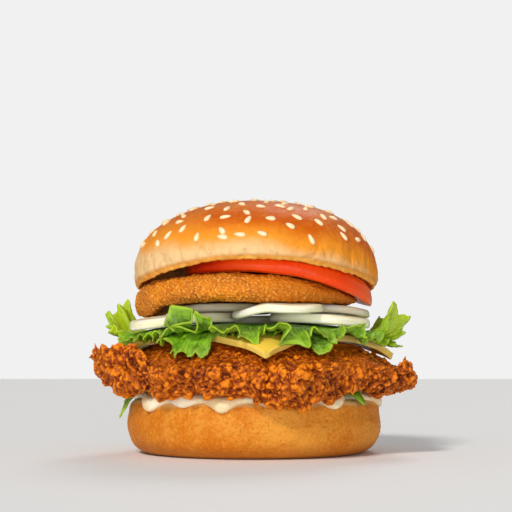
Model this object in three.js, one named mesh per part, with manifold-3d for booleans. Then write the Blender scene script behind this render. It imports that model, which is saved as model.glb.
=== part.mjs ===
// A chicken burger standing on its heel. Millimetres, +Z up, origin at the middle of the base.
// A bearing is the angle round the burger from its front, -Y, growing towards +X.
import * as THREE from 'three';
import { ImprovedNoise } from 'three/addons/math/ImprovedNoise.js';
import { mergeVertices } from 'three/addons/utils/BufferGeometryUtils.js';
import Module from 'manifold-3d';

const wasm = await Module();
wasm.setup();

// Driving dimensions
const GAP = 0.4; // clearance between pieces that rest on each other
const CURVED_GAP = 0.75; // the same where both faces curve

const HEEL = {
  radius: 50, height: 21, baseRadius: 41, shoulderRadius: 4, shoulderInset: 0.8, waist: 11, turns: 40,
};
const SAUCE = { depth: 1.6, edge: 0.35, reach: 48, turns: 54, shoulderRows: [45.4, 47, 49], bead: 10 };
const HANGING_LEAF = { thickness: 0.8, flat: 44, drop: 11.4, dropSpan: 11, columnsPerFold: 2 };
const FILLET = {
  depth: 18.6, shoulder: 48, bedRadius: 46, bedEdge: 51.8, turns: 84,
  ceilingReach: { front: 62, side: 60, wing: 50 },
  deckRows: [0, 34, 43], overAngles: [5, 28, 50, 70, 90], bedRows: [46, 0],
};
const CHEESE = { side: 80, depth: 2.5, corner: 3, turn: 49.5, squares: 10 };
const SAG = { depth: 9, radius: 56, power: 5 }; // how the layers droop over the fillet's edge
const RUFFLE = { thickness: 0.7, flat: 40, flatShare: 0.72, power: 3 };
const BACK_FOLDS = { from: 104, count: 13, pitch: 11.7, reach: 52, high: 50, low: 44.5 };
const ONION = {
  depth: 3.6, upperDepth: 3, taper: 0.3, droop: 2.6, droopRadius: 48, turns: 20, rings: [0, 0.93, 1],
};
const PATTY = {
  radius: 44, depth: 10, x: -3.2, y: -0.5, edge: 5.5, rimDrop: 2, rightDrop: 6.2, leftDrop: 2.5,
  floorTilt: 1.4, leftSag: { depth: 3.2, from: 0.68, to: 0.84 }, turns: 32,
  rings: [0, 0.5, 0.68, 0.82, 0.94, 1],
};
const TOMATO = {
  radius: 36.5, depth: 5.6, x: 10, y: -3.5, rightDrop: 4, floorRightDrop: 6.4,
  overhang: { from: 42, span: 8, drop: 2 }, turns: 36, rings: [0, 0.5, 0.8, 0.95, 1],
};
const CROWN = {
  radius: 48.8, rimRadius: 46.5, x: 0.8, top: 99, roundness: 2.2, curl: 4.5,
  frontRim: 72.5, sideDrop: 7, backDrop: 4.5, hollowPower: 6, turns: 40,
};
const SEED = {
  count: 88, length: 3.6, width: 2.2, height: 1.5, highest: 98.8, lowest: 79.2, sunk: 0.15,
  scatter: 1.6, scatterTurn: 0.3,
};

// Levels at the middle of the stack, each from the piece below
const sauceTop = HEEL.height + CURVED_GAP + SAUCE.depth + SAUCE.edge;
const hangingLevel = sauceTop + GAP + HANGING_LEAF.thickness / 2;
const bedLevel = hangingLevel + HANGING_LEAF.thickness / 2 + GAP;
const deckLevel = bedLevel + FILLET.depth;
const cheeseFloor = deckLevel + CURVED_GAP;
const lowerRuffleLevel = cheeseFloor + CHEESE.depth + CURVED_GAP + RUFFLE.thickness / 2;
const upperRuffleLevel = lowerRuffleLevel + RUFFLE.thickness + CURVED_GAP;
const lowerOnionFloor = upperRuffleLevel + RUFFLE.thickness / 2 + GAP;
const upperOnionFloor = lowerOnionFloor + ONION.depth + CURVED_GAP;
const pattyFloor = upperOnionFloor + ONION.upperDepth + 2 * GAP;
const tomatoFloor = pattyFloor + PATTY.depth + CURVED_GAP;
const crownFloor = tomatoFloor + TOMATO.depth + CURVED_GAP + GAP;

// Helpers
const { clamp, degToRad, lerp, smoothstep } = THREE.MathUtils;
const noise = new ImprovedNoise();

function seededRandom(seed) {
  let state = seed;
  return () => {
    state = (state * 1664525 + 1013904223) % 4294967296;
    return state / 4294967296;
  };
}

function polar(radius, bearing, z, x = 0, y = 0) {
  return new THREE.Vector3(x + radius * Math.sin(bearing), y - radius * Math.cos(bearing), z);
}

function sag(radius) {
  return SAG.depth * (radius / SAG.radius) ** SAG.power;
}

// 1 at the middle of a lobe, falling smoothly to 0 at its width either side
function nearness(bearing, middle, width) {
  const away = Math.abs(((bearing - middle + 540) % 360) - 180);
  return 1 - smoothstep(away, 0, width);
}

// The values of a table of extremes round the burger at a bearing, easing from one row to the next
function between(table, bearing) {
  const first = table[0][0];
  const turned = ((bearing - first + 720) % 360) + first;
  let next = table.findIndex((row) => row[0] > turned);
  if (next === -1) next = table.length;
  const before = table[next - 1];
  const after = next < table.length ? table[next] : [first + 360, ...table[0].slice(1)];
  const share = smoothstep(turned, before[0], after[0]);
  return before.slice(1).map((value, i) => lerp(value, after[i + 1], share));
}

// A closed solid of rows from its top point to its bottom point. place(row, around) gives each vertex,
// with around from 0 to 1. Rows below the middle are split like those above, so thin walls stay even.
function roundSolid(turns, rows, place) {
  const geometry = new THREE.SphereGeometry(1, turns, rows);
  const { position, uv } = geometry.attributes;
  for (let i = 0; i < position.count; i += 1) {
    const row = Math.round((1 - uv.getY(i)) * rows);
    const atPole = row === 0 || row === rows;
    const point = place(row, atPole ? 0 : uv.getX(i) % 1);
    position.setXYZ(i, point.x, point.y, point.z);
  }
  const index = [];
  const at = (row, column) => row * (turns + 1) + column;
  for (let row = 0; row < rows; row += 1) {
    for (let column = 0; column < turns; column += 1) {
      const [a, b] = [at(row, column + 1), at(row, column)];
      const [c, d] = [at(row + 1, column), at(row + 1, column + 1)];
      const upper = row < rows / 2;
      if (row !== 0) index.push(...(upper ? [a, b, d] : [a, b, c]));
      if (row !== rows - 1) index.push(...(upper ? [b, c, d] : [a, c, d]));
    }
  }
  geometry.setIndex(index);
  return finish(geometry);
}

// A solid between an upper and a lower face over the same rings, each ring a share of the whole reach
function slab(turns, rings, upper, lower) {
  const rows = 2 * rings.length - 1;
  return roundSolid(turns, rows, (row, around) => (
    row < rings.length ? upper(rings[row], around) : lower(rings[rows - row], around)
  ));
}

function finish(geometry) {
  geometry.deleteAttribute('normal');
  geometry.deleteAttribute('uv');
  const merged = mergeVertices(geometry, 1e-3);
  merged.computeVertexNormals();
  return merged;
}

function toManifold(geometry) {
  return new wasm.Manifold(new wasm.Mesh({
    numProp: 3,
    vertProperties: new Float32Array(geometry.attributes.position.array),
    triVerts: new Uint32Array(geometry.index.array),
  }));
}

function fromManifold(solid) {
  const mesh = solid.getMesh();
  const geometry = new THREE.BufferGeometry();
  geometry.setAttribute('position', new THREE.BufferAttribute(mesh.vertProperties, 3));
  geometry.setIndex(new THREE.BufferAttribute(mesh.triVerts, 1));
  geometry.computeVertexNormals();
  return geometry;
}

// Bun heel
function heelOutline() {
  const shoulder = HEEL.radius - HEEL.shoulderInset;
  const arcRadius = HEEL.shoulderRadius;
  const arcHeight = HEEL.height - arcRadius;
  const outline = new THREE.Path();
  outline.moveTo(0, HEEL.height);
  outline.lineTo(shoulder - arcRadius, HEEL.height);
  outline.absarc(shoulder - arcRadius, arcHeight, arcRadius, Math.PI / 2, 0, true);
  outline.bezierCurveTo(
    shoulder, arcHeight - 2, HEEL.radius, HEEL.waist + 2, HEEL.radius, HEEL.waist,
  );
  outline.absellipse(
    HEEL.baseRadius, HEEL.waist, HEEL.radius - HEEL.baseRadius, HEEL.waist, 0, -Math.PI / 2, true,
  );
  outline.lineTo(0, 0);
  return outline;
}

function heel() {
  const points = heelOutline().getPoints(2);
  return roundSolid(HEEL.turns, points.length - 1, (row, around) => (
    polar(points[row].x, 2 * Math.PI * around, points[row].y)
  ));
}

// Cream sauce: a thin spread over the heel whose edge runs down in drips
const DRIPS = [
  // bearing, extra reach, half width
  [-51, 4.2, 12], [-32, 2.4, 10], [-13.3, 4.2, 10], [7, 2, 9], [37, 3, 10], [82, 3, 12],
  [110, 4.2, 13], [150, 3, 12], [-170, 4, 13], [-120, 4, 13],
];
const SAUCE_BAYS = [
  // bearing, how much the reach is less, half width, where a leaf hangs over the edge
  [-77, 4.5, 18], [55, 4.5, 14],
];

function sauceReach(bearing) {
  let reach = SAUCE.reach;
  for (const [middle, extra, width] of DRIPS) reach += extra * nearness(bearing, middle, width);
  for (const [middle, less, width] of SAUCE_BAYS) reach -= less * nearness(bearing, middle, width);
  return reach;
}

function sauce() {
  const outline = heelOutline();
  const length = outline.getLength();
  const rings = [0, ...SAUCE.shoulderRows.map((_, i) => i + 1), SAUCE.shoulderRows.length + 1];
  const face = (isUpper) => (ring, around) => {
    const reach = sauceReach(360 * around);
    const rowsLeft = SAUCE.shoulderRows.length + 1 - ring;
    const limit = ring === 0 ? 0 : SAUCE.shoulderRows[ring - 1] ?? reach;
    const along = Math.min(limit, reach - 0.5 * rowsLeft);
    const share = Math.max(0, along / reach);
    const depth = isUpper ? SAUCE.edge + SAUCE.depth * Math.sqrt(1 - share ** SAUCE.bead) : 0;
    const height = CURVED_GAP + depth;
    const point = outline.getPoint(ring === 0 ? 0 : along / length);
    const tangent = outline.getTangent(ring === 0 ? 0 : along / length);
    const out = point.x - tangent.y * height;
    return polar(out, 2 * Math.PI * around, point.y + tangent.x * height);
  };
  return slab(SAUCE.turns, rings, face(true), face(false));
}

// Leaves. A fold is one extreme of a leaf's margin: its bearing, its reach and its height.

// The bearing of a column, with the same number of columns in each fold
function columnBearing(folds, around) {
  const place = around * folds.length;
  const fold = Math.floor(place);
  const from = folds[fold][0];
  const to = fold + 1 < folds.length ? folds[fold + 1][0] : folds[0][0] + 360;
  return lerp(from, to, place - fold);
}

// A leaf of even thickness round a middle surface, surface(share, bearing)
function leaf(folds, columnsPerFold, rings, thickness, surface) {
  const step = 1e-3;
  const side = (offset) => (share, around) => {
    if (share === 0) return surface(0, 0).add(new THREE.Vector3(0, 0, offset));
    const bearing = columnBearing(folds, around);
    const outwards = surface(Math.min(share + step, 1), bearing).sub(surface(share - step, bearing));
    const sideways = surface(share, bearing + 0.1).sub(surface(share, bearing - 0.1));
    const normal = outwards.cross(sideways).normalize();
    return surface(share, bearing).addScaledVector(normal, offset);
  };
  return slab(folds.length * columnsPerFold, rings, side(thickness / 2), side(-thickness / 2));
}

// The leaf under the fillet, which shows where its tips hang over the heel
const HANGING_FOLDS = [
  // bearing, reach
  [-100, 42], [-85, 43], [-80, 51.5], [-76, 45.5], [-72, 54.5], [-67, 43], [-50, 41], [-20, 43],
  [10, 41], [35, 42], [46, 44], [53, 51.5], [60, 44], [80, 42], [110, 43], [150, 41], [190, 43], [230, 41],
];

function hangingLeaf() {
  const surface = (share, bearing) => {
    const [reach] = between(HANGING_FOLDS, bearing);
    const radius = share * reach;
    const over = Math.max(0, radius - HANGING_LEAF.flat) / HANGING_LEAF.dropSpan;
    return polar(radius, degToRad(bearing), hangingLevel - HANGING_LEAF.drop * over ** 2);
  };
  const { columnsPerFold, thickness } = HANGING_LEAF;
  return leaf(HANGING_FOLDS, columnsPerFold, [0, 0.8, 0.9, 1], thickness, surface);
}

// The two ruffled leaves over the cheese
const UPPER_FRONT_FOLDS = [
  [-100, 53, 61.5], [-92, 58, 56], [-84, 57, 50], [-66, 51, 44.5], [-48, 51, 45.5], [-41, 51, 46.5],
  [-32, 51, 57.6], [-27, 53, 46.9], [-21, 52, 53.3], [-15, 53, 47.6], [-8, 53, 48], [-2, 54, 43.5],
  [3, 48, 47], [10.5, 52, 50.5], [17, 53, 41], [22, 51, 46], [27, 53, 48], [33, 52, 44],
  [38, 51, 46.5], [44, 53, 49.7], [52, 54, 41.3], [69, 51, 44], [80, 56, 58.9], [88, 61, 54.5],
  [94, 57, 47],
];

// A fold of the lower leaf that stays flat between the cheese and the upper leaf
function tucked(bearing, reach = 45) {
  return [bearing, reach, lowerRuffleLevel - sag(reach)];
}

const LOWER_FOLDS = [
  [-105, 57, 44], [-95, 53, 42], tucked(-86), tucked(-70), tucked(-55), [-41, 50, 43.4],
  [-30, 53, 38.7], [-22, 53, 38.7], tucked(-16, 43), tucked(4, 43), tucked(23, 41), [29, 54.5, 40.3],
  tucked(36), tucked(50, 43), tucked(68), [86, 57, 43], tucked(97), tucked(115),
  [127.4, 53, 39.5], tucked(139), [150.8, 53, 39], tucked(163), tucked(180), tucked(198),
  tucked(209), [221, 53, 39], tucked(233), [244.4, 52, 40.5],
];

// Round the back the upper leaf goes on in even folds, high where the lower one hangs out
function upperFolds() {
  const random = seededRandom(7);
  const folds = [...UPPER_FRONT_FOLDS];
  for (let i = 0; i < BACK_FOLDS.count; i += 1) {
    const reach = BACK_FOLDS.reach + 3 * random();
    const height = i % 2 === 0 ? BACK_FOLDS.high + 4 * random() : BACK_FOLDS.low + 2 * random();
    folds.push([BACK_FOLDS.from + i * BACK_FOLDS.pitch, reach, height]);
  }
  return folds;
}

function ruffle(folds, level, columnsPerFold, rings) {
  const surface = (share, bearing) => {
    const [reach, height] = between(folds, bearing);
    const out = Math.max(0, (share - RUFFLE.flatShare) / (1 - RUFFLE.flatShare));
    let radius = lerp(RUFFLE.flat, reach, out);
    if (share < RUFFLE.flatShare) radius = (RUFFLE.flat * share) / RUFFLE.flatShare;
    const resting = level - sag(radius);
    return polar(radius, degToRad(bearing), lerp(resting, height, out ** RUFFLE.power));
  };
  return leaf(folds, columnsPerFold, rings, RUFFLE.thickness, surface);
}

// Fried chicken fillet: a thick flat piece with a craggy crust, lying between the leaf and the cheese
const FILLET_EDGE = [
  // bearing, reach, height of the top, of the farthest point and of the underside
  [-180, 56, 41, 32, 23.5], [-152, 60, 41, 31, 21], [-124, 54, 40, 33, 25], [-100, 56, 41, 35, 26.5],
  [-84, 60, 43.5, 38, 27.5], [-70, 61, 44, 37, 24.5], [-58, 56, 43.5, 32, 22.5],
  [-44, 56, 42.5, 31, 21.5], [-30, 58, 41, 30, 20.5], [-17, 56, 41.5, 31, 21.5], [-5, 55, 40.5, 30, 20.5],
  [8, 60, 41, 29, 17.5], [20, 61, 42, 28, 16.8], [31, 59, 42, 28, 17.5], [40, 53, 40.5, 31, 23.5],
  [55, 57, 39, 31, 25], [68, 61, 38, 29, 23.5], [79, 65, 37.5, 28, 23], [92, 62, 40, 31, 24],
  [108, 56, 42.5, 33, 26], [132, 59, 41, 31, 22], [156, 55, 40.5, 32, 24.5],
];
const FILLET_KNOBS = [
  // x, y, z, height, width of a large knob of crust
  [-58, -15, 42.5, 5, 7], [-52, -22, 26, 4, 8], [-30, -48, 36, 3.5, 8], [14, -58, 34, 3.5, 9],
  [58, -22, 34, 4, 9], [30, 52, 36, 4, 10], [-26, 54, 30, 4, 10],
];
const CRAGS = [
  // pitch, height
  [11, 3], [5.5, 1.8],
];

function crag(point) {
  let height = 0;
  CRAGS.forEach(([pitch, size], i) => {
    const value = noise.noise(point.x / pitch + 7 * i, point.y / pitch + 3, point.z / pitch + 11);
    height += size * (0.7 - 2.6 * Math.abs(value));
  });
  for (const [x, y, z, size, width] of FILLET_KNOBS) {
    const away = point.distanceTo(new THREE.Vector3(x, y, z)) / width;
    height += size * Math.exp(-(away ** 2));
  }
  return height;
}

// The fillet's rows run from the middle of its top over the edge to the middle of its underside.
// Each gives a radius, a height and whether it is open crust.
function filletRow(row, bearing) {
  const [reach, top, farthest, under] = between(FILLET_EDGE, bearing);
  const shoulder = FILLET.shoulder;
  if (row < FILLET.deckRows.length) {
    const radius = FILLET.deckRows[row];
    return [radius, deckLevel - sag(radius), false];
  }
  const overRow = row - FILLET.deckRows.length;
  const overAngles = FILLET.overAngles;
  if (overRow < overAngles.length) {
    const over = degToRad(overAngles[overRow]);
    const radius = shoulder + (reach - shoulder) * Math.sin(over);
    return [radius, farthest + (top - farthest) * Math.cos(over), true];
  }
  const underRow = overRow - overAngles.length;
  if (underRow < overAngles.length - 1) {
    const turned = degToRad(90 - overAngles[overAngles.length - 2 - underRow]);
    const radius = shoulder + (reach - shoulder) * Math.cos(turned);
    return [radius, farthest - (farthest - under) * Math.sin(turned), true];
  }
  const radius = FILLET.bedRows[underRow - overAngles.length + 1];
  return [radius, bedLevel, false];
}

function filletPoint(row, bearing) {
  const [radius, height, isCrust] = filletRow(row, bearing);
  const point = polar(radius, degToRad(bearing), height);
  if (!isCrust) return point;
  const [reach, , farthest] = between(FILLET_EDGE, bearing);
  const out = (radius - FILLET.shoulder) / Math.max(reach - FILLET.shoulder, 1);
  const tilt = Math.atan2(height - farthest, 9 * Math.max(out, 0.05));
  const normal = polar(Math.cos(tilt), degToRad(bearing), Math.sin(tilt));
  point.addScaledVector(normal, crag(point));
  const away = Math.hypot(point.x, point.y);
  if (height > farthest && away < ceilingReach(bearing)) {
    point.z = Math.min(point.z, deckLevel - sag(Math.min(away, SAG.radius)));
  }
  if (height < farthest) point.z = Math.max(point.z, bedRoof(away, bearing));
  return point;
}

// How far out the fillet stays below the cheese and the leaves. It rises at the left front and
// the right back.
function ceilingReach(bearing) {
  const { front, side, wing } = FILLET.ceilingReach;
  const toSide = 1 - nearness(bearing, 0, 72);
  const inWing = Math.max(nearness(bearing, -56, 20), nearness(bearing, 110, 8));
  return lerp(lerp(front, side, toSide), wing, inWing);
}

// The lowest that the fillet may come over the heel, the sauce and the hanging leaf's tips
function bedRoof(radius, bearing) {
  const overLeaf = Math.max(nearness(bearing, -75, 16), nearness(bearing, 53, 14));
  const steps = [
    [FILLET.bedRadius, bedLevel], [49.5, 22.9 + 0.6 * overLeaf],
    [FILLET.bedEdge + 5 * overLeaf, 18 + 3 * overLeaf],
  ];
  if (radius <= steps[0][0]) return bedLevel;
  const next = steps.findIndex(([edge]) => edge > radius);
  if (next === -1) return 0;
  const [[from, high], [to, low]] = [steps[next - 1], steps[next]];
  return lerp(high, low, (radius - from) / (to - from));
}

function fillet() {
  const rows = FILLET.deckRows.length + 2 * FILLET.overAngles.length + FILLET.bedRows.length - 2;
  return roundSolid(FILLET.turns, rows, (row, around) => filletPoint(row, 360 * around - 180));
}

// Cheese: one square slice with rounded corners that droop over the fillet
function cheese() {
  const { side, depth, corner, squares } = CHEESE;
  const geometry = new THREE.BoxGeometry(side, side, depth, squares, squares, 1);
  geometry.rotateZ(degToRad(CHEESE.turn));
  const { position } = geometry.attributes;
  for (let i = 0; i < position.count; i += 1) {
    const point = new THREE.Vector3().fromBufferAttribute(position, i);
    const radius = Math.hypot(point.x, point.y);
    const widest = side / Math.SQRT2 - corner * (Math.SQRT2 - 1);
    const kept = Math.min(1, widest / radius || 1);
    const shown = radius * kept;
    const z = point.z + depth / 2 + cheeseFloor - sag(shown);
    position.setXYZ(i, point.x * kept, point.y * kept, z);
  }
  return finish(geometry);
}

// Onion: raw rounds in two layers. Where an upper round has none under it, its edge dips.
const ONIONS = [
  // name, x, y, radius, in the upper layer, dip at the left edge
  ['onion_left', -27.5, -14, 20.3, false, 0],
  ['onion_right', 25.6, -13, 19.8, false, 0],
  ['onion_back', 0, 25, 20.3, false, 0],
  ['onion_mid', -11, 3, 19.5, true, 0],
  ['onion_far_right', 28, 3, 18, true, 0],
  ['onion_front', 9, -28, 17, true, 3.3],
];

function onion(x, y, radius, isUpper, dip) {
  const depth = isUpper ? ONION.upperDepth : ONION.depth;
  const floor = isUpper ? upperOnionFloor : lowerOnionFloor;
  const face = (height, inset) => (share, around) => {
    const point = polar(share * (radius - inset), 2 * Math.PI * around, 0, x, y);
    const droop = ONION.droop * (Math.hypot(point.x, point.y) / ONION.droopRadius) ** 5;
    const dipping = dip * smoothstep(x - point.x, 0.2 * radius, radius);
    point.z = floor + height - droop - dipping;
    return point;
  };
  const rings = dip > 0 ? [0, 0.5, 0.93, 1] : ONION.rings;
  return slab(ONION.turns, rings, face(depth, ONION.taper), face(0, 0));
}

// Breaded patty with a rounded edge, thin at the right under the tomato and sagging at the left
function pattyFaces(x, y) {
  const along = (x - PATTY.x) / PATTY.radius;
  const out = Math.hypot(x - PATTY.x, y - PATTY.y) / PATTY.radius;
  const drop = PATTY.rimDrop * out ** 4;
  const sideDrop = along > 0 ? PATTY.rightDrop * along ** 2 : PATTY.leftDrop * (-along) ** 3;
  const upper = pattyFloor + PATTY.depth - drop - sideDrop;
  const { depth, from, to } = PATTY.leftSag;
  const leftSag = depth * smoothstep(-along, from, to);
  const lower = pattyFloor - drop + PATTY.floorTilt * along ** 3 - leftSag;
  return { upper, lower, out };
}

function patty() {
  const face = (side) => (share, around) => {
    const point = polar(share * PATTY.radius, 2 * Math.PI * around, 0, PATTY.x, PATTY.y);
    const { upper, lower } = pattyFaces(point.x, point.y);
    const edge = PATTY.edge / PATTY.radius;
    const inEdge = clamp((share - (1 - edge)) / edge, 0, 0.98);
    const half = ((upper - lower) / 2) * Math.sqrt(1 - inEdge ** 2);
    point.z = (upper + lower) / 2 + side * half;
    return point;
  };
  return slab(PATTY.turns, PATTY.rings, face(1), face(-1));
}

// Tomato: one thick round, thicker to the right, lying on the patty and bending over its right edge
function tomato() {
  const face = (height, rightDrop, power) => (share, around) => {
    const point = polar(share * TOMATO.radius, 2 * Math.PI * around, 0, TOMATO.x, TOMATO.y);
    const { out } = pattyFaces(point.x, point.y);
    const along = Math.max(0, (point.x - PATTY.x) / PATTY.radius);
    const overhang = Math.max(0, (out * PATTY.radius - TOMATO.overhang.from) / TOMATO.overhang.span);
    const droop = rightDrop * along ** power + TOMATO.overhang.drop * overhang ** 2;
    point.z = tomatoFloor + height - PATTY.rimDrop * out ** 4 - droop;
    return point;
  };
  const upper = face(TOMATO.depth, TOMATO.rightDrop, 3);
  return slab(TOMATO.turns, TOMATO.rings, upper, face(0, TOMATO.floorRightDrop, 2));
}

// Bun crown with its rim lifted at the front
function rimHeight(bearing) {
  const back = (1 - Math.cos(bearing)) / 2;
  return CROWN.frontRim - CROWN.sideDrop * Math.sin(bearing) ** 2 - CROWN.backDrop * back ** 2;
}

// A point on the crown's skin, by its angle down from the top
function crownSkin(down, bearing) {
  const widest = rimHeight(bearing) + CROWN.curl;
  const power = 2 / CROWN.roundness;
  const radius = CROWN.radius * Math.sin(down) ** power;
  return polar(radius, bearing, widest + (CROWN.top - widest) * Math.cos(down) ** power, CROWN.x);
}

function crownBody() {
  const downAngles = [0, 15, 30, 44, 57, 69, 80, 90];
  const curlAngles = [50, 90];
  const underShares = [0.92, 0.8, 0.62, 0];
  const rows = downAngles.length + curlAngles.length + underShares.length - 1;
  return roundSolid(CROWN.turns, rows, (row, around) => {
    const bearing = 2 * Math.PI * around;
    if (row < downAngles.length) {
      const down = Math.min(degToRad(downAngles[row]), Math.PI / 2 - 1e-9);
      return crownSkin(down, bearing);
    }
    const rim = rimHeight(bearing);
    if (row < downAngles.length + curlAngles.length) {
      const curl = degToRad(curlAngles[row - downAngles.length]);
      const radius = lerp(CROWN.rimRadius, CROWN.radius, Math.cos(curl));
      return polar(radius, bearing, rim + CROWN.curl * (1 - Math.sin(curl)), CROWN.x);
    }
    const share = underShares[row - downAngles.length - curlAngles.length];
    const z = crownFloor - (crownFloor - rim) * share ** CROWN.hollowPower;
    return polar(share * CROWN.rimRadius, bearing, z, CROWN.x);
  });
}

// Sesame seeds over the crown in an uneven spiral, each half sunk in the skin
function seeds() {
  const random = seededRandom(23);
  const goldenAngle = Math.PI * (3 - Math.sqrt(5));
  const solids = [];
  for (let i = 0; i < SEED.count; i += 1) {
    const evenly = lerp(SEED.highest, SEED.lowest, (i + 0.5) / SEED.count);
    const height = clamp(evenly + SEED.scatter * (random() - 0.5), SEED.lowest, SEED.highest);
    const bearing = i * goldenAngle + SEED.scatterTurn * (random() - 0.5);
    const widest = rimHeight(bearing) + CROWN.curl;
    const share = (height - widest) / (CROWN.top - widest);
    const down = Math.acos(share ** (CROWN.roundness / 2));
    const middle = crownSkin(down, bearing);
    const turn = Math.PI * random();
    const below = crownSkin(down + 0.02, bearing).sub(crownSkin(Math.max(down - 0.02, 0), bearing));
    const beside = crownSkin(down, bearing + 0.02).sub(crownSkin(down, bearing - 0.02));
    const normal = below.cross(beside).normalize();
    const frame = new THREE.Quaternion().setFromUnitVectors(new THREE.Vector3(0, 0, 1), normal);
    const geometry = new THREE.SphereGeometry(1, 6, 2).rotateX(Math.PI / 2);
    geometry.scale(SEED.length / 2, SEED.width / 2, SEED.height / 2);
    geometry.rotateZ(turn);
    geometry.applyQuaternion(frame);
    geometry.translate(...middle.addScaledVector(normal, -SEED.sunk).toArray());
    solids.push(finish(geometry));
  }
  return solids;
}

function crown() {
  let solid = toManifold(crownBody());
  for (const seed of seeds()) solid = solid.add(toManifold(seed));
  return fromManifold(solid);
}

// The burger
const burger = new THREE.Group();

function place(name, geometry, color, roughness) {
  const mesh = new THREE.Mesh(geometry, new THREE.MeshStandardMaterial({ color, roughness, metalness: 0 }));
  mesh.name = name;
  burger.add(mesh);
}

place('bun_heel', heel(), '#d99a4a', 0.8);
place('sauce', sauce(), '#f1e2bd', 0.35);
place('leaf_hanging', hangingLeaf(), '#4f8f22', 0.5);
place('fillet', fillet(), '#a5541a', 0.75);
place('cheese', cheese(), '#f2c63f', 0.4);
const lowerRings = [0, 0.5, RUFFLE.flatShare, 0.86, 1];
const upperRings = [0, 0.5, RUFFLE.flatShare, 0.84, 0.93, 1];
place('lettuce_lower', ruffle(LOWER_FOLDS, lowerRuffleLevel, 2, lowerRings), '#4d9a24', 0.5);
place('lettuce_upper', ruffle(upperFolds(), upperRuffleLevel, 3, upperRings), '#6db52f', 0.5);
for (const [name, ...sizes] of ONIONS) place(name, onion(...sizes), '#f0ecd8', 0.4);
place('patty', patty(), '#c8862f', 0.8);
place('tomato', tomato(), '#cf3a1e', 0.3);
place('bun_crown', crown(), '#c9772a', 0.6);

export default burger;
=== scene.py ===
"""A stacked burger in a seeded bun: the looks of every layer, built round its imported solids."""
import math

import bpy
import numpy as np
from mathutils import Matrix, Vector
from bpy.props import FloatProperty, FloatVectorProperty, IntProperty, PointerProperty
from bpy.types import Operator, Panel, PropertyGroup


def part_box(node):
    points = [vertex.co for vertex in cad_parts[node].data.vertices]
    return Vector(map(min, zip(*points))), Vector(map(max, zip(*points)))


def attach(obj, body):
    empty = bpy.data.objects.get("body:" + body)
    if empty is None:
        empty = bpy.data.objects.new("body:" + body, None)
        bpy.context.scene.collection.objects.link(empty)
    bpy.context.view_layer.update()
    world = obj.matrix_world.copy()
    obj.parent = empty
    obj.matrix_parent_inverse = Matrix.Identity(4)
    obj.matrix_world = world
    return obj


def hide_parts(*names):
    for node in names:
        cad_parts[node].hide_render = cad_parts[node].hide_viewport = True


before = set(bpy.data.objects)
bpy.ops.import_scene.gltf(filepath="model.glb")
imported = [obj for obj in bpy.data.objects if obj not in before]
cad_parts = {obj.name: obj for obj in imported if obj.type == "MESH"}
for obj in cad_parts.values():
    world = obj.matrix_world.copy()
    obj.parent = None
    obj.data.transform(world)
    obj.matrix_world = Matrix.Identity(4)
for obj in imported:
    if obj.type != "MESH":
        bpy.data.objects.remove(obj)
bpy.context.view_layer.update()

bl_info = {
    "name": "Stacked Burger",
    "version": (1, 0, 0),
    "blender": (4, 5, 0),
    "location": "View3D > Sidebar > Burger",
    "description": "Builds a burger in layers: bun, sauce, leaves, fillet, cheese, onion, patty and tomato",
    "category": "Add Mesh",
}

MM = 0.001
BODY = "root"

# Shapes are worked out in millimetres. A bearing is the angle round the burger from its front, -Y,
# in degrees, growing towards +X. Most of these sizes repeat those of the solids.
GAP = 0.4
CURVED_GAP = 0.75
HEEL_BASE_RADIUS = 41
HEEL_SHOULDER = 4
HEEL_SHOULDER_INSET = 0.8
HEEL_WAIST = 11
SAUCE_DEPTH = 1.6
SAUCE_EDGE = 0.35
SAUCE_REACH = 48
HANGING_FLAT = 44
HANGING_DROP = 11.4
HANGING_SPAN = 11
FILLET_DEPTH = 18.6
SAG_DEPTH = 9
SAG_RADIUS = 56
SAG_POWER = 5
LEAF_FLAT = 40
LEAF_FLAT_SHARE = 0.15
LEAF_RING = 50
CHEESE_BEARING = 56
CHEESE_GAP_RISE = 3
CHEESE_GAP_BAY = 2
CRUST_FROM = 42
CRUST_SHRINK = 1.7
CRUST_WARP = 0.65
CRUST_HEIGHT = 5.2
CRUST_SINK = 2.7
CRUST_DIPS = 5.0
CRUST_WAIST = 33
TIP_FROM = 57
TIP_DRAW_IN = 0.2
CROWN_X = 0.8
CROWN_RIM_RADIUS = 46.5
CROWN_ROUNDNESS = 2.2
CROWN_CURL = 4.5
CROWN_FRONT_RIM = 72.5
CROWN_SIDE_DROP = 7
CROWN_BACK_DROP = 4.5
CROWN_HOLLOW_POWER = 6
SEED_HIGHEST = 98.8
SEED_LOWEST = 79.2

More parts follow.
